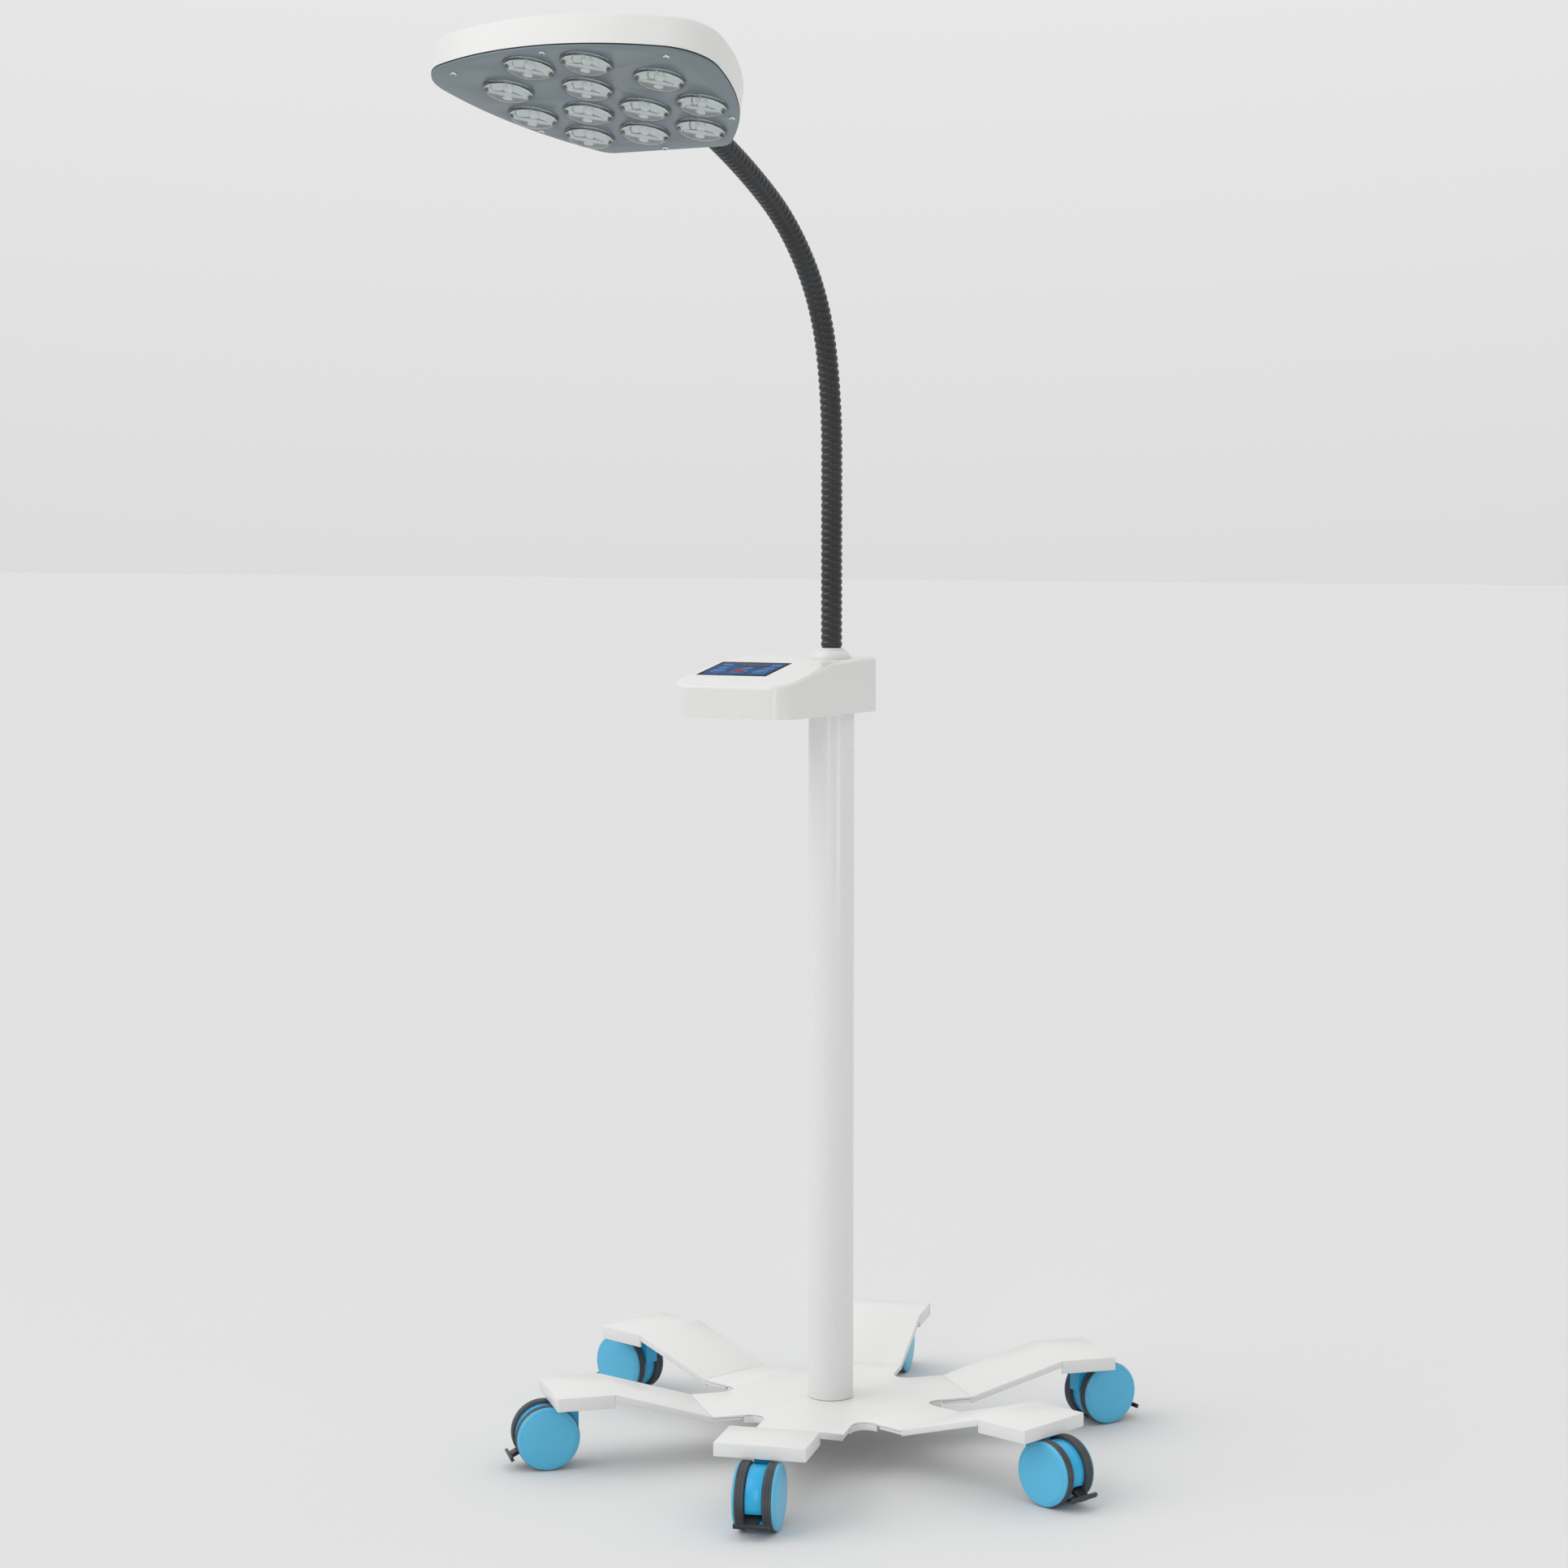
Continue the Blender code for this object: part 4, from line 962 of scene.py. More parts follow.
    def place(self, number: int, joints: dict[str, dict]) -> None:
        """Copy the pieces to one caster.

        Args:
            number: The caster's number, from 1.
            joints: The frame's joints by name.
        """
        roll = joints[f"caster_{number}_roll"]
        along = Vector(roll["axis"])
        up = Vector((0, 0, 1))
        at = frame_of(Vector(roll["pos_m"]), along.cross(up), along, up)
        fork, wheels, pedal = f"caster_{number}", f"caster_{number}_wheels", f"caster_{number}_pedal"
        look = self.palette
        plan = (
            ("housing", "fairing", look.housing, Slot.CASTER, fork, f"caster_{number}_housing"),
            ("stem", "stem", look.steel, Slot.STEEL, fork, ""),
            ("tread", "treads", look.tread, Slot.WHEEL, wheels, f"caster_{number}_wheelset"),
            ("cap", "hub_caps", look.cap, Slot.WHEEL, wheels, ""),
            ("pedal", "brake_bar", look.pedal, Slot.PEDAL, pedal, f"caster_{number}_brake_pedal"),
            ("tab", "brake_tab", look.tab, Slot.PEDAL, pedal, ""),
        )
        for key, word, finish, slot, body, node in plan:
            piece = twin(self.pattern[key], f"caster_{number}_{word}", at)
            if node:
                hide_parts(node)
            dress(piece, finish, body)

    def build(self, count: int, joints: dict[str, dict]) -> None:
        """Model the caster once and place every copy."""
        self.model()
        for number in range(1, count + 1):
            self.place(number, joints)
        drop(*self.pattern.values())


# ---------------------------------------------------------------- the control box
@dataclass
class ControlBox:
    """Sloped control box with keypad, buttons, neck cone and mains inlet."""

    palette: Palette
    centre: Vector
    bottom: float = 0.879
    left: float = 0.119
    right: float = 0.038
    front: float = 0.180
    rear: float = 0.046
    front_h: float = 0.038
    crest_y: float = 0.066
    crest_h: float = 0.0605
    rear_h: float = 0.0645
    front_r: float = 0.028
    rear_r: float = 0.007
    edge: float = 0.0045
    wall: float = 0.0028
    keypad_w: float = 0.092
    keypad_l: float = 0.066
    keypad_t: float = 0.0010
    keypad_from_left: float = 0.012
    keypad_from_crest: float = 0.004
    button_r: float = 0.0062
    button_pitch: float = 0.028
    button_from_front: float = 0.021
    button_proud: float = 0.0008
    button_gap: float = 0.0004
    collar_r: float = 0.015
    collar_proud: float = 0.0115
    inlet_screw_x: float = 0.0225

    def panel(self) -> Matrix:
        """The keypad's own frame: its middle on the sloping panel, Z out of the panel."""
        tilt = math.atan2(self.crest_h - self.front_h, self.front - self.crest_y)
        along = self.keypad_from_crest + self.keypad_l / 2
        across_box = self.keypad_from_left + self.keypad_w / 2 - self.left
        middle = Vector((across_box, -self.crest_y - along * math.cos(tilt),
                         self.bottom + self.crest_h - along * math.sin(tilt)))
        return Matrix.Translation(self.centre + middle) @ turn(math.degrees(tilt), "X")

    def button_places(self) -> dict[str, tuple[float, float]]:
        """Middle of each button in the keypad's frame."""
        y, pitch = self.button_from_front - self.keypad_l / 2, self.button_pitch
        return {"dim_button": (-pitch, y), "power_button": (0.0, y), "bright_button": (pitch, y)}

    def bores(self, clearance: float) -> list[bpy.types.Object]:
        """Cutters for the three buttons, in the keypad's frame."""
        return [settle(bar("hole", self.button_r + clearance, -0.01, 0.01), Matrix.Translation((x, y, 0)))
                for x, y in self.button_places().values()]

    def form(self) -> bpy.types.Object:
        """The cover's outer form: a box cut along its crest, lowered to the slope and rounded, open below."""
        top = self.bottom + self.rear_h
        cover = block("cover", (-self.left, -self.front, self.bottom), (self.right, self.rear, top))
        with shaping(cover):
            bpy.ops.mesh.bisect(plane_co=(0, -self.crest_y, 0), plane_no=(0, 1, 0))
            for y, height in ((-self.front, self.front_h), (-self.crest_y, self.crest_h)):
                choose(cover, Part.VERTS, lambda vertex, middle: abs(middle.y - y) < NEAR
                       and middle.z > top - NEAR)
                shift(z=height - self.rear_h)
            choose(cover, Part.FACES, lambda face, middle: face.normal.z < -0.9)
            bpy.ops.mesh.delete(type="FACE")
            for y, radius, steps in ((-self.front, self.front_r, 14), (self.rear, self.rear_r, 6)):
                choose(cover, Part.EDGES, lambda edge, middle: abs(middle.y - y) < NEAR
                       and rise(edge) > 0.9 * edge.calc_length())
                bpy.ops.mesh.bevel(offset=radius, segments=steps, affect="EDGES", clamp_overlap=False)
            choose(cover, Part.EDGES, lambda edge, middle: len(edge.link_faces) == 2
                   and sorted(face.normal.z > 0.5 for face in edge.link_faces) == [False, True])
            bpy.ops.mesh.bevel(offset=self.edge, segments=5, affect="EDGES", clamp_overlap=False)
        applied(cover, "SOLIDIFY", thickness=self.wall, offset=-1, use_even_offset=True)
        return settle(cover, Matrix.Translation(self.centre))

    def cover(self) -> None:
        """The cover with its recess, button holes, neck hole and inlet slot."""
        cover = self.form()
        size = (self.keypad_w + 2 * GAP, self.keypad_l + 2 * GAP)
        cutters = [slab("recess", size, -self.keypad_t - GAP, 0.01)] + self.bores(self.button_gap)
        for cutter in cutters:
            settle(cutter, self.panel())
        cutters.append(settle(bar("neck_hole", self.collar_r + GAP, self.bottom, self.bottom + 0.1),
                              Matrix.Translation(self.centre)))
        inlet_low, inlet_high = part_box("power_inlet")
        rim = 0.003 - GAP
        cutters.append(block("inlet_hole", (inlet_low.x + rim, inlet_low.y, inlet_low.z + rim),
                             (inlet_high.x - rim, inlet_high.y + 0.01, inlet_high.z - rim)))
        carve(cover, cutters)
        cover.name = "moulded_cover"
        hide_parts("box_cover")
        dress(cover, self.palette.box, "stand", 40)

    def cone(self) -> None:
        """The low cone of the cover round the neck's collar, and the collar itself."""
        top = self.bottom + self.rear_h + self.collar_proud - 0.003
        bore, foot, head = self.collar_r + GAP, self.collar_r + 0.0072, self.collar_r + 0.003
        profile = ((bore, top - 0.0150), (foot + 0.0012, top - 0.0150), (foot + 0.0012, top - 0.0090),
                   (foot, top - 0.0058), (foot - 0.0016, top - 0.0036), (head + 0.0006, top - 0.0010),
                   (head - 0.0006, top), (bore, top))
        ring = settle(turned("neck_cone", profile, 72, Ends.RING), Matrix.Translation(self.centre))
        dress(ring, self.palette.box, "stand")
        low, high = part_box("neck_collar")
        profile = softened(self.collar_r, low.z + 0.034, high.z, 0.0015, foot=False)
        collar = settle(turned("turned_collar", profile, 72), Matrix.Translation(self.centre))
        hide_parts("neck_collar")
        dress(collar, self.palette.box, "stand")

    def sticker(self, name: str, size: tuple[float, float], at: tuple[float, float], top: float,
                corner: float, finish: bpy.types.Material) -> None:
        """A thin rounded rectangle raised on the keypad.

        Args:
            name: The piece's name.
            size: Width and length.
            at: Middle, in the keypad's frame.
            top: Height of its face over the panel.
            corner: Radius of its corners.
            finish: Its material.
        """
        piece = slab(name, size, -0.0004, top, at)
        with shaping(piece, Part.EDGES):
            choose(piece, Part.EDGES, lambda edge, middle: rise(edge) > top)
            bpy.ops.mesh.bevel(offset=corner, segments=5, affect="EDGES")
        settle(rounded(piece, 0.00012, 1, 60), self.panel())
        dress(piece, finish, "stand")

    def keypad(self) -> None:
        """Keypad plate with its field, display window and patches, and the three buttons."""
        margin, look = 0.0042, self.palette
        plate = slab("keypad_plate", (self.keypad_w, self.keypad_l), -self.keypad_t, 0)
        settle(rounded(carve(plate, self.bores(self.button_gap)), 0.00025, 2, 50), self.panel())
        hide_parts("keypad_panel")
        dress(plate, look.border, "stand")
        ink = slab("keypad_field", (self.keypad_w - 2 * margin, self.keypad_l - 2 * margin), -0.0005, 0.00015)
        settle(carve(ink, self.bores(3 * self.button_gap)), self.panel())
        dress(ink, look.field, "stand")
        self.sticker("display_window", (0.040, 0.013), (0.003, 0.0185), 0.0004, 0.0012, look.window)
        rear, middle = 0.0175, 0.0040
        patches = (("patch_rear_left", -0.030, rear), ("patch_rear_right", 0.034, rear),
                   ("patch_left", -0.030, middle), ("patch_middle", 0.003, middle),
                   ("patch_right", 0.031, middle))
        for name, x, y in patches:
            self.sticker(name, (0.0135, 0.0068), (x, y), 0.0003, 0.0016, look.patch)
        self.sticker("status_spot", (0.0046, 0.0038), (-0.037, 0.0262), 0.0003, 0.0012, look.red)
        for name, (x, y) in self.button_places().items():
            section = ((0.0006, -0.0002), (0.0034, -0.0002), (0.0032, 0.00035), (0.0008, 0.00035))
            profile = [(self.button_r + out, up) for out, up in section]
            ring = turned(f"{name}_ring", profile, 48, Ends.RING)
            settle(ring, self.panel() @ Matrix.Translation((x, y, 0)))
            dress(ring, look.patch, "stand")
            self.button(name, x, y)

    def button(self, name: str, x: float, y: float) -> None:
        """One dished push button."""
        proud, flange, r = self.button_proud, 0.0015, self.button_r
        low = -self.wall - GAP - flange
        profile = ((r + flange, low), (r + flange, low + flange), (r, low + flange), (r, proud - 0.0005),
                   (r - 0.0002, proud - 0.0001), (r - 0.0007, proud), (r - 0.0016, proud),
                   (0.5 * r, proud - 0.0002), (0.1 * r, proud - 0.0003))
        piece = settle(turned(f"{name}_key", profile, 48), self.panel() @ Matrix.Translation((x, y, 0)))
        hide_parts(name)
        power = name == "power_button"
        dress(piece, self.palette.red if power else self.palette.button,
              name)

    def underside(self) -> None:
        """Floor plate's screws, inlet with its pins, and the inner pieces' finishes."""
        for node, finish in (("box_floor", self.palette.box), ("control_board", self.palette.board),
                             ("power_module", self.palette.module), ("power_inlet", self.palette.inlet)):
            repaint(node, finish)
        low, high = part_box("box_floor")
        screw = settle(pan_screw("screw", 0.0030), turn(180, "X"))
        inset = 0.012
        spots = [(x, y) for x in (low.x + inset, high.x - inset) for y in (low.y + 2 * inset, high.y - inset)]
        for k, (x, y) in enumerate(spots):
            piece = twin(screw, f"floor_screw_{k + 1}", Matrix.Translation((x, y, low.z)))
            dress(piece, self.palette.screw, "stand")
        drop(screw)
        low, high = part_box("power_inlet")
        middle = (low + high) / 2
        half = Vector((0.0010, 0, 0.0018))
        for k, (dx, dz) in enumerate(((-0.0055, -0.002), (0.0, 0.0025), (0.0055, -0.002))):
            root = Vector((middle.x + dx, high.y - 0.0175, middle.z + dz))
            end = Vector((root.x, high.y - 0.004, root.z))
            pin = block(f"inlet_pin_{k + 1}", root - half, end + half)
            dress(rounded(pin, 0.0006, 2), self.palette.screw, "stand")
        for k, x in enumerate((middle.x - self.inlet_screw_x, middle.x + self.inlet_screw_x)):
            spot = Matrix.Translation((x, self.centre.y + self.rear, middle.z)) @ across()
            piece = settle(pan_screw(f"inlet_screw_{k + 1}", 0.0026), spot)
            dress(piece, self.palette.screw, "stand")

    def build(self) -> None:
        """Cover, cone, keypad, underside."""
        self.cover()
        self.cone()
        self.keypad()
        self.underside()


# ---------------------------------------------------------------- the gooseneck
@dataclass
class Gooseneck:
    """Ribbed flexible neck, in pieces that are each curved across one joint of the frame."""

    palette: Palette
    foot: Vector
    bends: tuple[float, ...] = (0.0, 0.0, 13.0, 29.0, 20.0, 7.0, 5.0)
    link: float = 0.114
    radius: float = 0.0125
    groove: float = 0.0013
    ribs: int = 14
    into_socket: float = 0.0155
    bodies: tuple[str, ...] = ("stand", "neck_2", "neck_3", "neck_4", "neck_5", "neck_6", "lamp_head")

    def at(self, along: float) -> tuple[Vector, float]:
        """A point on the neck's middle line.

        Args:
            along: Distance from the neck's foot.

        Returns:
            The point, and the line's lean from upright in radians.
        """
        point, lean = self.foot.copy(), 0.0
        for number, bend in enumerate(self.bends):
            stretch = min(max(along - number * self.link, 0.0), self.link)
            curve = math.radians(bend) / self.link
            if curve:
                end = lean + curve * stretch
                point += Vector((0, math.cos(end) - math.cos(lean), math.sin(end) - math.sin(lean))) / curve
                lean = end
            else:
                point += stretch * Vector((0, -math.sin(lean), math.cos(lean)))
        beyond = max(along - len(self.bends) * self.link, 0.0)
        return point + beyond * Vector((0, -math.sin(lean), math.cos(lean))), lean

    def guide(self) -> bpy.types.Object:
        """The middle line as a curve that the straight pieces are bent along."""
        length = len(self.bends) * self.link + self.into_socket
        steps = 24 * len(self.bends)
        bpy.ops.curve.primitive_nurbs_path_add()
        curve = bpy.context.object
        curve.data.splines.clear()
        spline = curve.data.splines.new("POLY")
        spline.points.add(steps)
        for number, point in enumerate(spline.points):
            point.co = (*self.at(length * number / steps)[0], 1)
        curve.data.twist_mode = "MINIMUM"
        curve.data.use_deform_bounds = False
        curve.data.use_stretch = False
        return curve

    def rib(self) -> bpy.types.Object:
        """One rib of the neck, open at both ends, standing on Z = 0."""
        half = ((1.0, 0.0), (0.8, 0.10), (0.25, 0.22), (0.0, 0.42))
        section = half + tuple((depth, 1 - along) for depth, along in reversed(half))
        pitch = self.link / self.ribs
        profile = [(self.radius - depth * self.groove, along * pitch) for depth, along in section]
        return turned("rib", profile, 36, Ends.OPEN)

    def stretch(self, name: str, rib: bpy.types.Object, guide: bpy.types.Object, first: int, count: int
                ) -> bpy.types.Object:
        """A stretch of the neck, laid along its middle line.

        Args:
            name: The piece's name.
            rib: The single rib to repeat.
            guide: The middle line.
            first: How many ribs lie below it.
            count: How many ribs it has.

        Returns:
            The bent piece, closed at both ends.
        """
        pitch = self.link / self.ribs
        tube = twin(rib, name, Matrix.Translation((0, 0, first * pitch)))
        applied(tube, "ARRAY", count=count, use_relative_offset=False, use_constant_offset=True,
                constant_offset_displace=(0, 0, pitch), use_merge_vertices=True, merge_threshold=0.00001)
        with shaping(tube, Part.EDGES):
            bpy.ops.mesh.select_all(action="DESELECT")
            bpy.ops.mesh.select_non_manifold()
            bpy.ops.mesh.fill_holes(sides=0)
            bpy.ops.mesh.select_all(action="SELECT")
            bpy.ops.mesh.normals_make_consistent(inside=False)
        return applied(tube, "CURVE", object=guide, deform_axis="POS_Z")

    def build(self) -> None:
        """A stiff stretch at the foot, one curved across each joint and left on no body, and a stiff one into
        the head.
        """
        rib, guide = self.rib(), self.guide()
        half = self.ribs // 2
        foot = self.stretch("neck_tube_foot", rib, guide, 0, half)
        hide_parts("neck_link_1")
        dress(foot, self.palette.neck, self.bodies[0], 50)
        for number, (below, above) in enumerate(zip(self.bodies, self.bodies[1:])):
            first = half + number * self.ribs
            tube = self.stretch(f"neck_tube_{number + 1}", rib, guide, first, self.ribs)
            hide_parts(f"neck_link_{number + 2}")
            dress(tube, self.palette.neck, "", 50)
            start, end = self.at((number + 0.5) * self.link)[0], self.at((number + 1.5) * self.link)[0]
            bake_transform(tube)
        first = half + (len(self.bends) - 1) * self.ribs
        tail = half + round(self.into_socket * self.ribs / self.link)
        end_piece = self.stretch("neck_tube_end", rib, guide, first, tail)
        dress(end_piece, self.palette.neck, self.bodies[-1], 50)
        drop(rib, guide)

    def head_frame(self) -> tuple[Vector, float]:
        """Where the neck ends, and the lamp head's tilt about X in degrees."""
        end, lean = self.at(len(self.bends) * self.link)
        return end, math.degrees(lean) - 90


# ---------------------------------------------------------------- the lamp head
@dataclass
class LampHead:
    """Shell, face plate, twelve clear domes with reflectors, screws and the neck's socket."""

    palette: Palette
    neck_end: Vector
    tilt: float
    pitch: float = 0.068
    lens_r: float = 0.027
    lens_dome: float = 0.0095
    seat_r: float = 0.0245
    row_push: float = 0.131
    depth: float = 0.037
    wall: float = 0.0025
    edge: float = 0.0055
    narrow_margin: float = 0.0505
    wide_margin: float = 0.0415
    side_margin: float = 0.0657
    side_y: float = -0.129
    side_r: float = 0.350
    wide_r: float = 0.365
    wide_corner: float = 0.052
    narrow_corner: float = 0.024
    face_t: float = 0.003
    face_inset: float = 0.0006
    board_behind: float = 0.0066
    cup_power: float = 1.8
    die_w: float = 0.0096
    socket_w: float = 0.044
    socket_l: float = 0.070
    socket_h: float = 0.034
    socket_from_end: float = 0.005
    socket_bore: float = 0.016

    @property
    def row(self) -> float:
        """Distance between two rows of lenses."""
        return self.pitch * math.sqrt(3) / 2

    def frame(self) -> Matrix:
        """The head's own frame: X across, +Y towards the neck, +Z up through the shell."""
        rear_face = self.row + self.narrow_margin - self.socket_from_end
        from_neck = Matrix.Translation((0, -rear_face, -self.depth - self.socket_h / 2))
        return Matrix.Translation(self.neck_end) @ turn(self.tilt, "X") @ from_neck

    def outline(self, inset: float) -> Outline:
        """Plan of the head: flat narrow end at +Y, bowed sides, wide bowed end at -Y."""
        wide = (0.0, -2 * self.row - self.wide_margin + self.wide_r)
        side = (1.5 * self.pitch + self.side_margin - self.side_r, self.side_y)
        corner = self.meet(wide, self.wide_r - self.wide_corner, side, self.side_r - self.wide_corner)
        small_y = self.row + self.narrow_margin - self.narrow_corner
        reach = self.side_r - self.narrow_corner
        small = (side[0] + math.sqrt(reach ** 2 - (small_y - side[1]) ** 2), small_y)
        wide_end, side_start = self.bearing(wide, corner), self.bearing(side, corner)
        side_end = self.bearing(side, small)
        half = arc(wide, self.wide_r - inset, -math.pi / 2, wide_end, 16)
        half += arc(corner, self.wide_corner - inset, wide_end, side_start, 24)[1:]
        half += arc(side, self.side_r - inset, side_start, side_end, 22)[1:]
        half += arc(small, self.narrow_corner - inset, side_end, math.pi / 2, 14)[1:]
        return half + [(-x, y) for x, y in reversed(half)][:-1]

    @staticmethod
    def bearing(start: tuple[float, float], end: tuple[float, float]) -> float:
        """Direction from one point to another, in radians."""
        return math.atan2(end[1] - start[1], end[0] - start[0])

    @staticmethod
    def meet(first: tuple[float, float], first_r: float, second: tuple[float, float], second_r: float
             ) -> tuple[float, float]:
        """The point at given distances from two centres that lies to the left, going from first to second."""
        span = math.dist(first, second)
        along = (first_r ** 2 - second_r ** 2 + span ** 2) / (2 * span)
        off = math.sqrt(first_r ** 2 - along ** 2)
        ux, uy = (second[0] - first[0]) / span, (second[1] - first[1]) / span
        return first[0] + along * ux - off * uy, first[1] + along * uy + off * ux

    def lens_places(self) -> Outline:
        """Middles of the twelve lenses."""
        half, push, row = self.pitch / 2, self.row_push * self.pitch, self.row
        outer = 2 * half + 2.5 * push
        places = [(x * half, row) for x in (-2, 0, 2)]
        places += [(x * half, 0.0) for x in (-3, -1, 1, 3)]
        places += [(-outer, -row - push), (0.0, -row), (outer, -row - push)]
        return places + [(x * half, -2 * row) for x in (-1, 1)]

    def shell(self) -> None:
        """The shell: the outline drawn up, its top edge rounded, open below with a thin wall."""
        low, top = self.face_t + GAP, self.depth - SHY
        shell = flat_outline("moulded_shell", self.outline(0), low)
        with shaping(shell):
            pull(z=top - low)
            choose(shell, Part.EDGES, lambda edge, middle: middle.z > top - NEAR)
            bpy.ops.mesh.bevel(offset=self.edge, segments=8, affect="EDGES", clamp_overlap=False)
            choose(shell, Part.FACES, lambda face, middle: middle.z < low + NEAR)
            bpy.ops.mesh.delete(type="FACE")
        applied(shell, "SOLIDIFY", thickness=self.wall, offset=-1)
        settle(shell, self.frame())
        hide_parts("head_shell")
        dress(shell, self.palette.shell, "lamp_head", 40)

    def gasket(self) -> None:
        """The thin dark seal between shell and face plate."""
        thick, room = 0.0007, 0.00002
        seal = flat_outline("face_seal", self.outline(GAP), self.face_t - thick)
        with shaping(seal):
            bpy.ops.mesh.inset(thickness=0.004)
            bpy.ops.mesh.delete(type="FACE")
        with shaping(seal):
            pull(z=thick + GAP - room)
        outwards(seal)
        settle(seal, self.frame())
        dress(seal, self.palette.gasket, "lamp_head")

    def face(self) -> None:
        """The face plate with its twelve seats."""
        plate = flat_outline("face_panel", self.outline(self.face_inset), 0)
        with shaping(plate):
            pull(z=self.face_t - 0.0008)
        outwards(plate)
        seats = [settle(bar("seat", self.seat_r + GAP, -0.01, 0.01, 64), Matrix.Translation((x, y, 0)))
                 for x, y in self.lens_places()]
        carve(plate, seats)
        rounded(plate, 0.0006, 2, 60)
        settle(plate, self.frame())
        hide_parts("face_plate")
        dress(plate, self.palette.face, "lamp_head")

    def dome(self) -> bpy.types.Object:
        """One clear dome, bulging towards -Z, with a flat flange round it."""
        r, dome, rim, flange, eye, steps = self.lens_r, self.lens_dome, 0.0018, 0.0014, 0.0042, 14
        profile = [(self.seat_r, 0.0006), (self.seat_r, -GAP), (r, -GAP), (r, -0.8 * rim),
                   (r - 0.3 * flange, -rim)]
        for k in range(steps - 1):
            angle = math.pi / 2 * k / steps
            profile.append(((r - flange) * math.cos(angle), -rim - (dome - rim) * math.sin(angle)))
        nipple = ((1.10, -0.0001), (0.95, 0.0004), (0.70, 0.0011), (0.38, 0.0015), (0.05, 0.0017))
        profile += [(share * eye, -dome - out) for share, out in nipple]
        return turned("dome", profile, 64)

    def reflector(self) -> bpy.types.Object:
        """One smooth grey bowl behind a dome."""
        deep, wide, throat, wall, steps = self.board_behind - 0.0012, self.seat_r - 0.0004, 0.0055, 0.0006, 8
        rim = 2 * wall
        profile = [(wide, rim), (wide, deep), (throat, deep)]
        for k in range(1, steps + 1):
            share = k / steps
            r = throat + share * (wide - rim - throat)
            profile.append((r, deep - wall - (deep - 2 * rim) * share ** self.cup_power))
        profile.append((wide - wall, rim))
        return turned("cup", profile, 48, Ends.RING)

    def die(self) -> bpy.types.Object:
        """One light-emitting die on its white base."""
        low, high = self.board_behind - 0.0016, self.board_behind - 0.0002
        base = slab("die", (self.die_w, self.die_w), low, high)
        with shaping(base):
            choose(base, Part.FACES, lambda face, middle: face.normal.z < -0.9)
            bpy.ops.mesh.inset(thickness=0.0009, depth=0.0004)
        return rounded(base, 0.0002, 1, 50)

    def optics(self) -> None:
        """A dome, a cup and a die at each lens place."""
        patterns = (("clear_dome", self.dome(), self.palette.dome),
                    ("cup", self.reflector(), self.palette.reflector), ("die", self.die(), self.palette.die))
        for number, (x, y) in enumerate(self.lens_places(), 1):
            at = self.frame() @ Matrix.Translation((x, y, 0))
            for word, pattern, finish in patterns:
                piece = twin(pattern, f"{word}_{number:02d}", at)
                if word == "clear_dome":
                    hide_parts(f"lens_{number:02d}")
                dress(piece, finish, "lamp_head")
        drop(*(pattern for _, pattern, _ in patterns))
        repaint("led_board", self.palette.board)

    def screws(self) -> None:
        """Six pan-head screws in the face plate."""
        screw = settle(pan_screw("screw", 0.0036), turn(180, "X"))
        places = ((-0.126, -0.117), (0.126, -0.117), (0.0, -0.148), (-0.116, 0.039), (0.116, 0.039),
                  (0.0, 0.103))
        for number, (x, y) in enumerate(places, 1):
            piece = twin(screw, f"face_screw_{number}", self.frame() @ Matrix.Translation((x, y, 0.0001)))
            dress(piece, self.palette.screw, "lamp_head")
        drop(screw)

    def socket(self) -> None:
        """The round-backed socket on the shell that holds the neck, with its clamp screw."""
        rear = self.row + self.narrow_margin - self.socket_from_end
        base, top, half = self.depth + 0.00005, self.depth + self.socket_h, self.socket_w / 2
        body = block("neck_socket_body", (-half, rear - self.socket_l, base), (half, rear, top))
        with shaping(body, Part.EDGES):
            choose(body, Part.EDGES, lambda edge, middle: middle.z > top - NEAR
                   and abs(middle.x) > half - NEAR)
            bpy.ops.mesh.bevel(offset=0.010, segments=8, affect="EDGES")
            choose(body, Part.EDGES, lambda edge, middle: middle.y < rear - self.socket_l + NEAR
                   and middle.z > base + 0.001 and len({round(vertex.co.y, 5) for vertex in edge.verts}) == 1)
            bpy.ops.mesh.bevel(offset=0.006, segments=6, affect="EDGES", clamp_overlap=True)
        bore = settle(bar("bore", Gooseneck.radius + GAP, -0.02, self.socket_bore, 48),
                      Matrix.Translation((0, rear, self.depth + self.socket_h / 2)) @ turn(90, "X"))
        rounded(carve(body, [bore]), 0.0006, 2, 40)
        settle(body, self.frame())
        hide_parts("neck_socket")
        dress(body, self.palette.shell, "lamp_head", 40)
        clamp = settle(pan_screw("socket_clamp_screw", 0.0034),
                       self.frame() @ Matrix.Translation((0, rear - 0.010, top - 0.0002)))
        dress(clamp, self.palette.screw, "lamp_head")

    def build(self) -> None:
        """Everything on the head."""
        self.shell()
        self.gasket()
        self.face()
        self.optics()
        self.screws()
        self.socket()


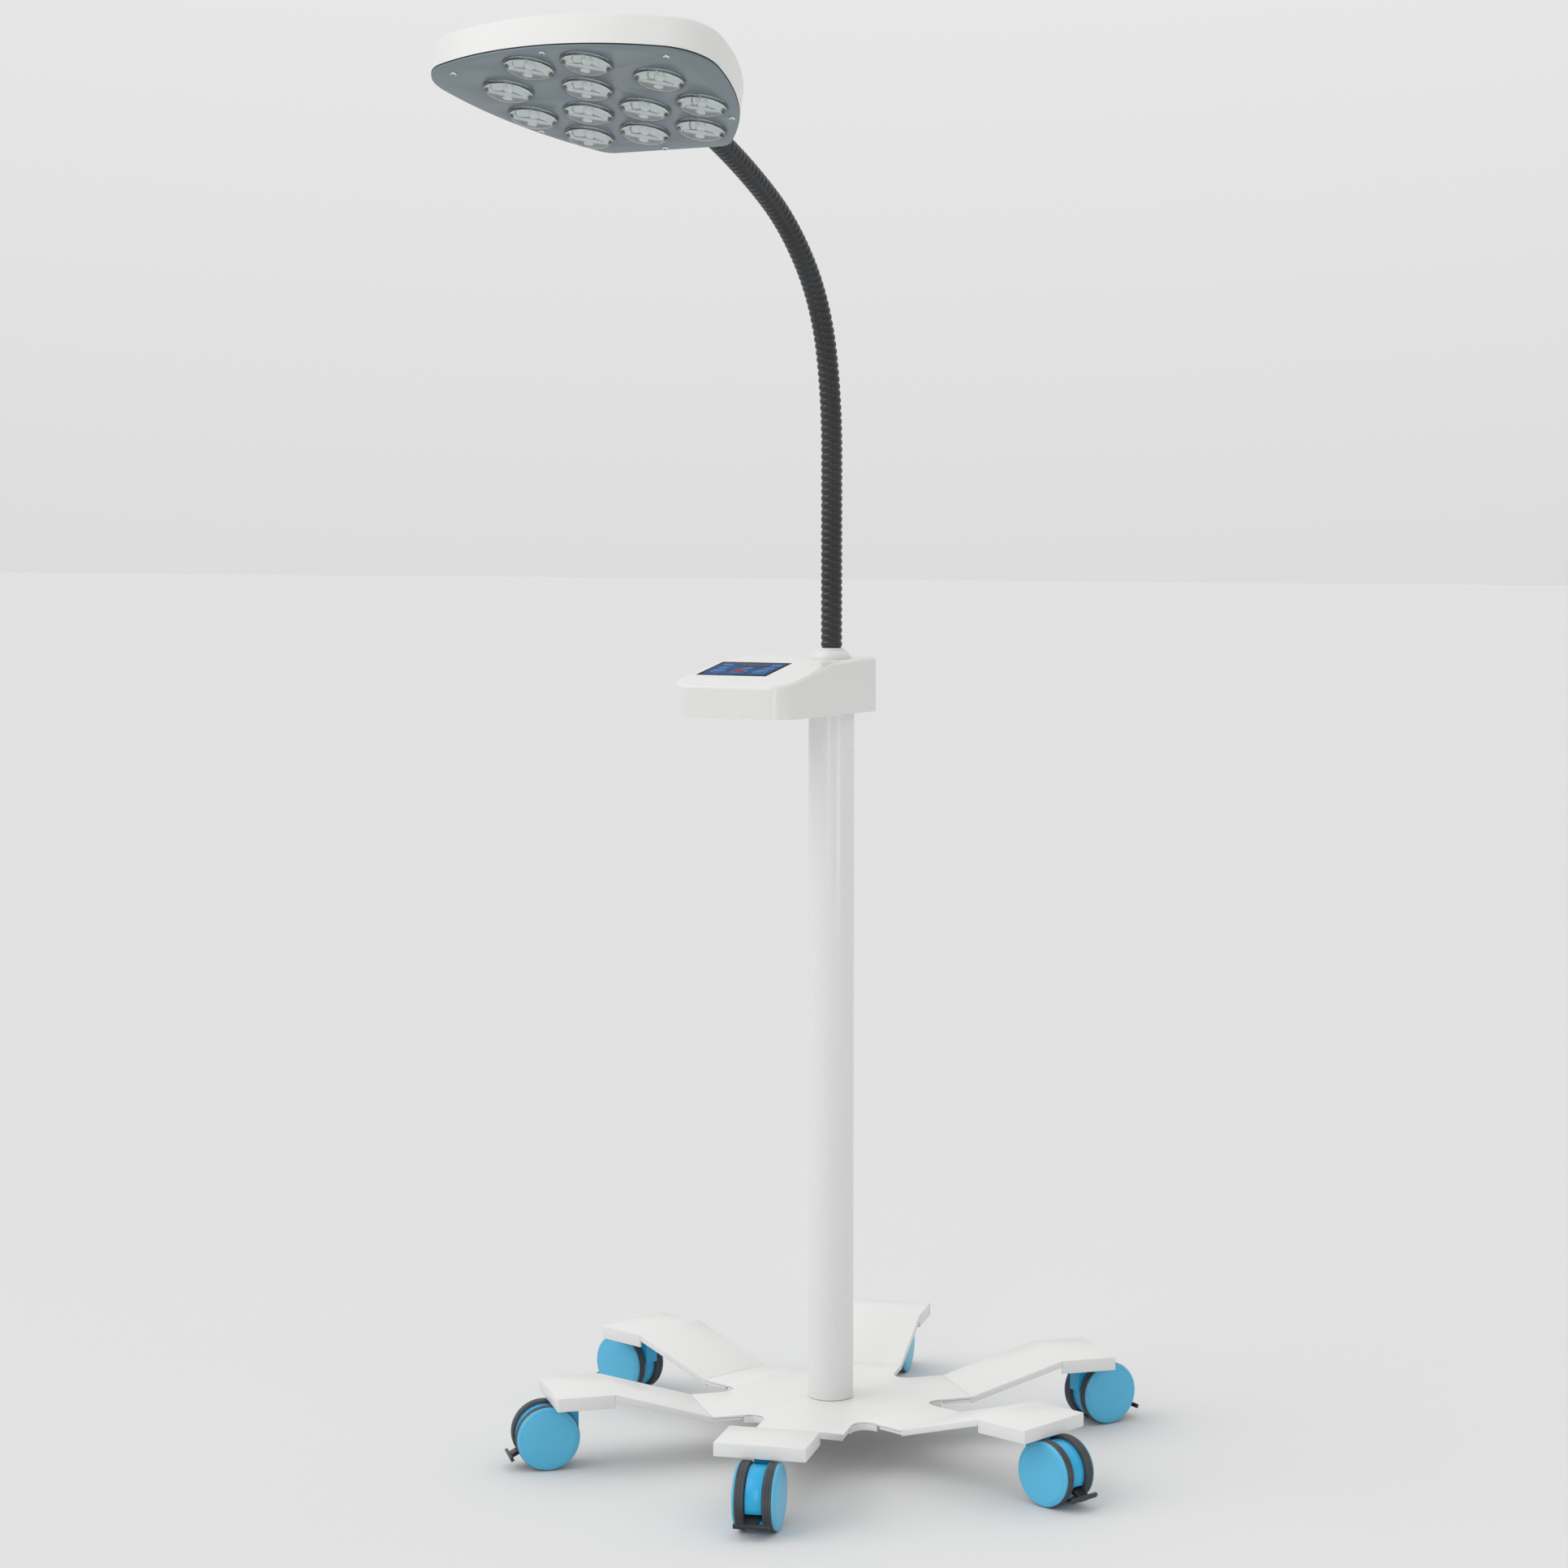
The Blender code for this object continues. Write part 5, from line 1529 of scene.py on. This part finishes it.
# ---------------------------------------------------------------- the studio
@dataclass
class Studio:
    """Pale floor, soft lights and the camera."""

    centre: Vector
    camera_offset: tuple[float, float, float] = (1.7713, -3.3882, 1.0938)
    camera_turn: tuple[float, float, float] = (85.51, 0.0, 28.44)
    lens: float = 74.45
    bright: float = 1.0
    dim: float = 0.34
    lean: float = 0.42
    floor_size: float = 120.0
    floor_drop: float = 0.0005
    sight: float = 200.0

    def camera(self) -> None:
        """The camera, low and to the right of the light's front."""
        bpy.ops.object.camera_add(location=self.centre + Vector(self.camera_offset),
                                  rotation=[math.radians(angle) for angle in self.camera_turn])
        camera = bpy.context.object
        camera.data.lens = self.lens
        camera.data.sensor_width = 36
        camera.data.clip_end = self.sight
        bpy.context.scene.camera = camera

    def floor(self) -> None:
        """A wide pale floor."""
        bpy.ops.mesh.primitive_plane_add(size=self.floor_size, location=(0, 0, -self.floor_drop))
        floor = fresh("studio_floor")
        recipe = Recipe("studio_white")
        tone = recipe.remapped(recipe.noise(0.6, 2.0), 0.0, 1.0)
        recipe.wire(recipe.blended(tone, (0.725, 0.725, 0.725), (0.72, 0.72, 0.72)), "Base Color")
        recipe.fixed(Roughness=0.9)
        floor.data.materials.append(recipe.material)

    def softbox(self, name: str, azimuth: float, height: float, away: float, size: tuple[float, float],
                power: float) -> None:
        """An area light that faces the light's middle.

        Args:
            name: Its name.
            azimuth: Its direction, in degrees from straight ahead (-Y) towards +X.
            height: Its height.
            away: Its distance from the pole.
            size: Width and height of the light.
            power: Watts.
        """
        angle = math.radians(azimuth)
        place = self.centre + Vector((away * math.sin(angle), -away * math.cos(angle), height))
        bpy.ops.object.light_add(type="AREA", location=place)
        lamp = bpy.context.object
        lamp.name = name
        lamp.data.shape = "RECTANGLE"
        lamp.data.size, lamp.data.size_y = size
        lamp.data.energy = power
        lamp.visible_camera = False
        aim = self.centre + Vector((0, -0.1, 0.8)) - lamp.location
        lamp.rotation_euler = aim.to_track_quat("-Z", "Y").to_euler()

    def daylight(self, name: str, azimuth: float, elevation: float, softness: float, power: float) -> None:
        """Even light from one side, as from a wide window.

        Args:
            name: Its name.
            azimuth: Its direction, in degrees from straight ahead (-Y) towards +X.
            elevation: Its height over the horizon, in degrees.
            softness: Its apparent size, in degrees.
            power: Watts on each square metre.
        """
        bpy.ops.object.light_add(type="SUN", location=self.centre + Vector((0, 0, 4)),
                                 rotation=(math.radians(90 - elevation), 0, math.radians(azimuth)))
        lamp = bpy.context.object
        lamp.name = name
        lamp.data.angle = math.radians(softness)
        lamp.data.energy = power

    def air(self) -> None:
        """White surroundings, brightest overhead and dimmest low on the camera's side."""
        world = bpy.data.worlds.new("studio_air")
        world.use_nodes = True
        tree = world.node_tree
        shade = tree.nodes["Background"]
        shade.inputs["Color"].default_value = (1, 1, 1, 1)
        towards = tree.nodes.new("ShaderNodeVectorMath")
        towards.operation = "DOT_PRODUCT"
        angle = math.radians(self.camera_turn[2])
        towards.inputs[1].default_value = (-self.lean * math.sin(angle), self.lean * math.cos(angle), 1)
        tree.links.new(tree.nodes.new("ShaderNodeTexCoord").outputs["Generated"], towards.inputs[0])
        level = tree.nodes.new("ShaderNodeMapRange")
        spread = {"From Min": -self.lean, "From Max": 1, "To Min": self.dim, "To Max": self.bright}
        for socket, value in spread.items():
            level.inputs[socket].default_value = value
        tree.links.new(towards.outputs["Value"], level.inputs["Value"])
        tree.links.new(level.outputs["Result"], shade.inputs["Strength"])
        bpy.context.scene.world = world

    def build(self) -> None:
        """Surroundings, floor, lights and camera."""
        bpy.context.scene.view_settings.view_transform = "Standard"
        self.air()
        self.floor()
        self.daylight("key_daylight", -48, 38, 55, 0.95)
        self.softbox("strip_light", 14, 1.3, 4.2, (0.35, 2.4), 16)
        self.softbox("low_fill", 64, 0.35, 2.6, (0.5, 0.5), 3.5)
        self.camera()


def main() -> None:
    """Build the looks in order."""
    logging.basicConfig(level=logging.INFO, format="%(message)s")
    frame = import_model()
    joints = {joint["name"]: joint for joint in frame["joints"]}
    low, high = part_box("pole")
    centre = Vector(((low.x + high.x) / 2, (low.y + high.y) / 2, 0))
    Studio(centre).build()
    palette = Palette()
    Base(palette, centre).build()
    Pole(palette, centre).build()
    Caster(palette).build(Base.legs, joints)
    ControlBox(palette, centre).build()
    foot = Vector((centre.x, centre.y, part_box("neck_collar")[1].z + GAP))
    neck = Gooseneck(palette, foot)
    neck.build()
    neck_end, tilt = neck.head_frame()
    LampHead(palette, neck_end, tilt).build()


if __name__ == "__main__":
    main()
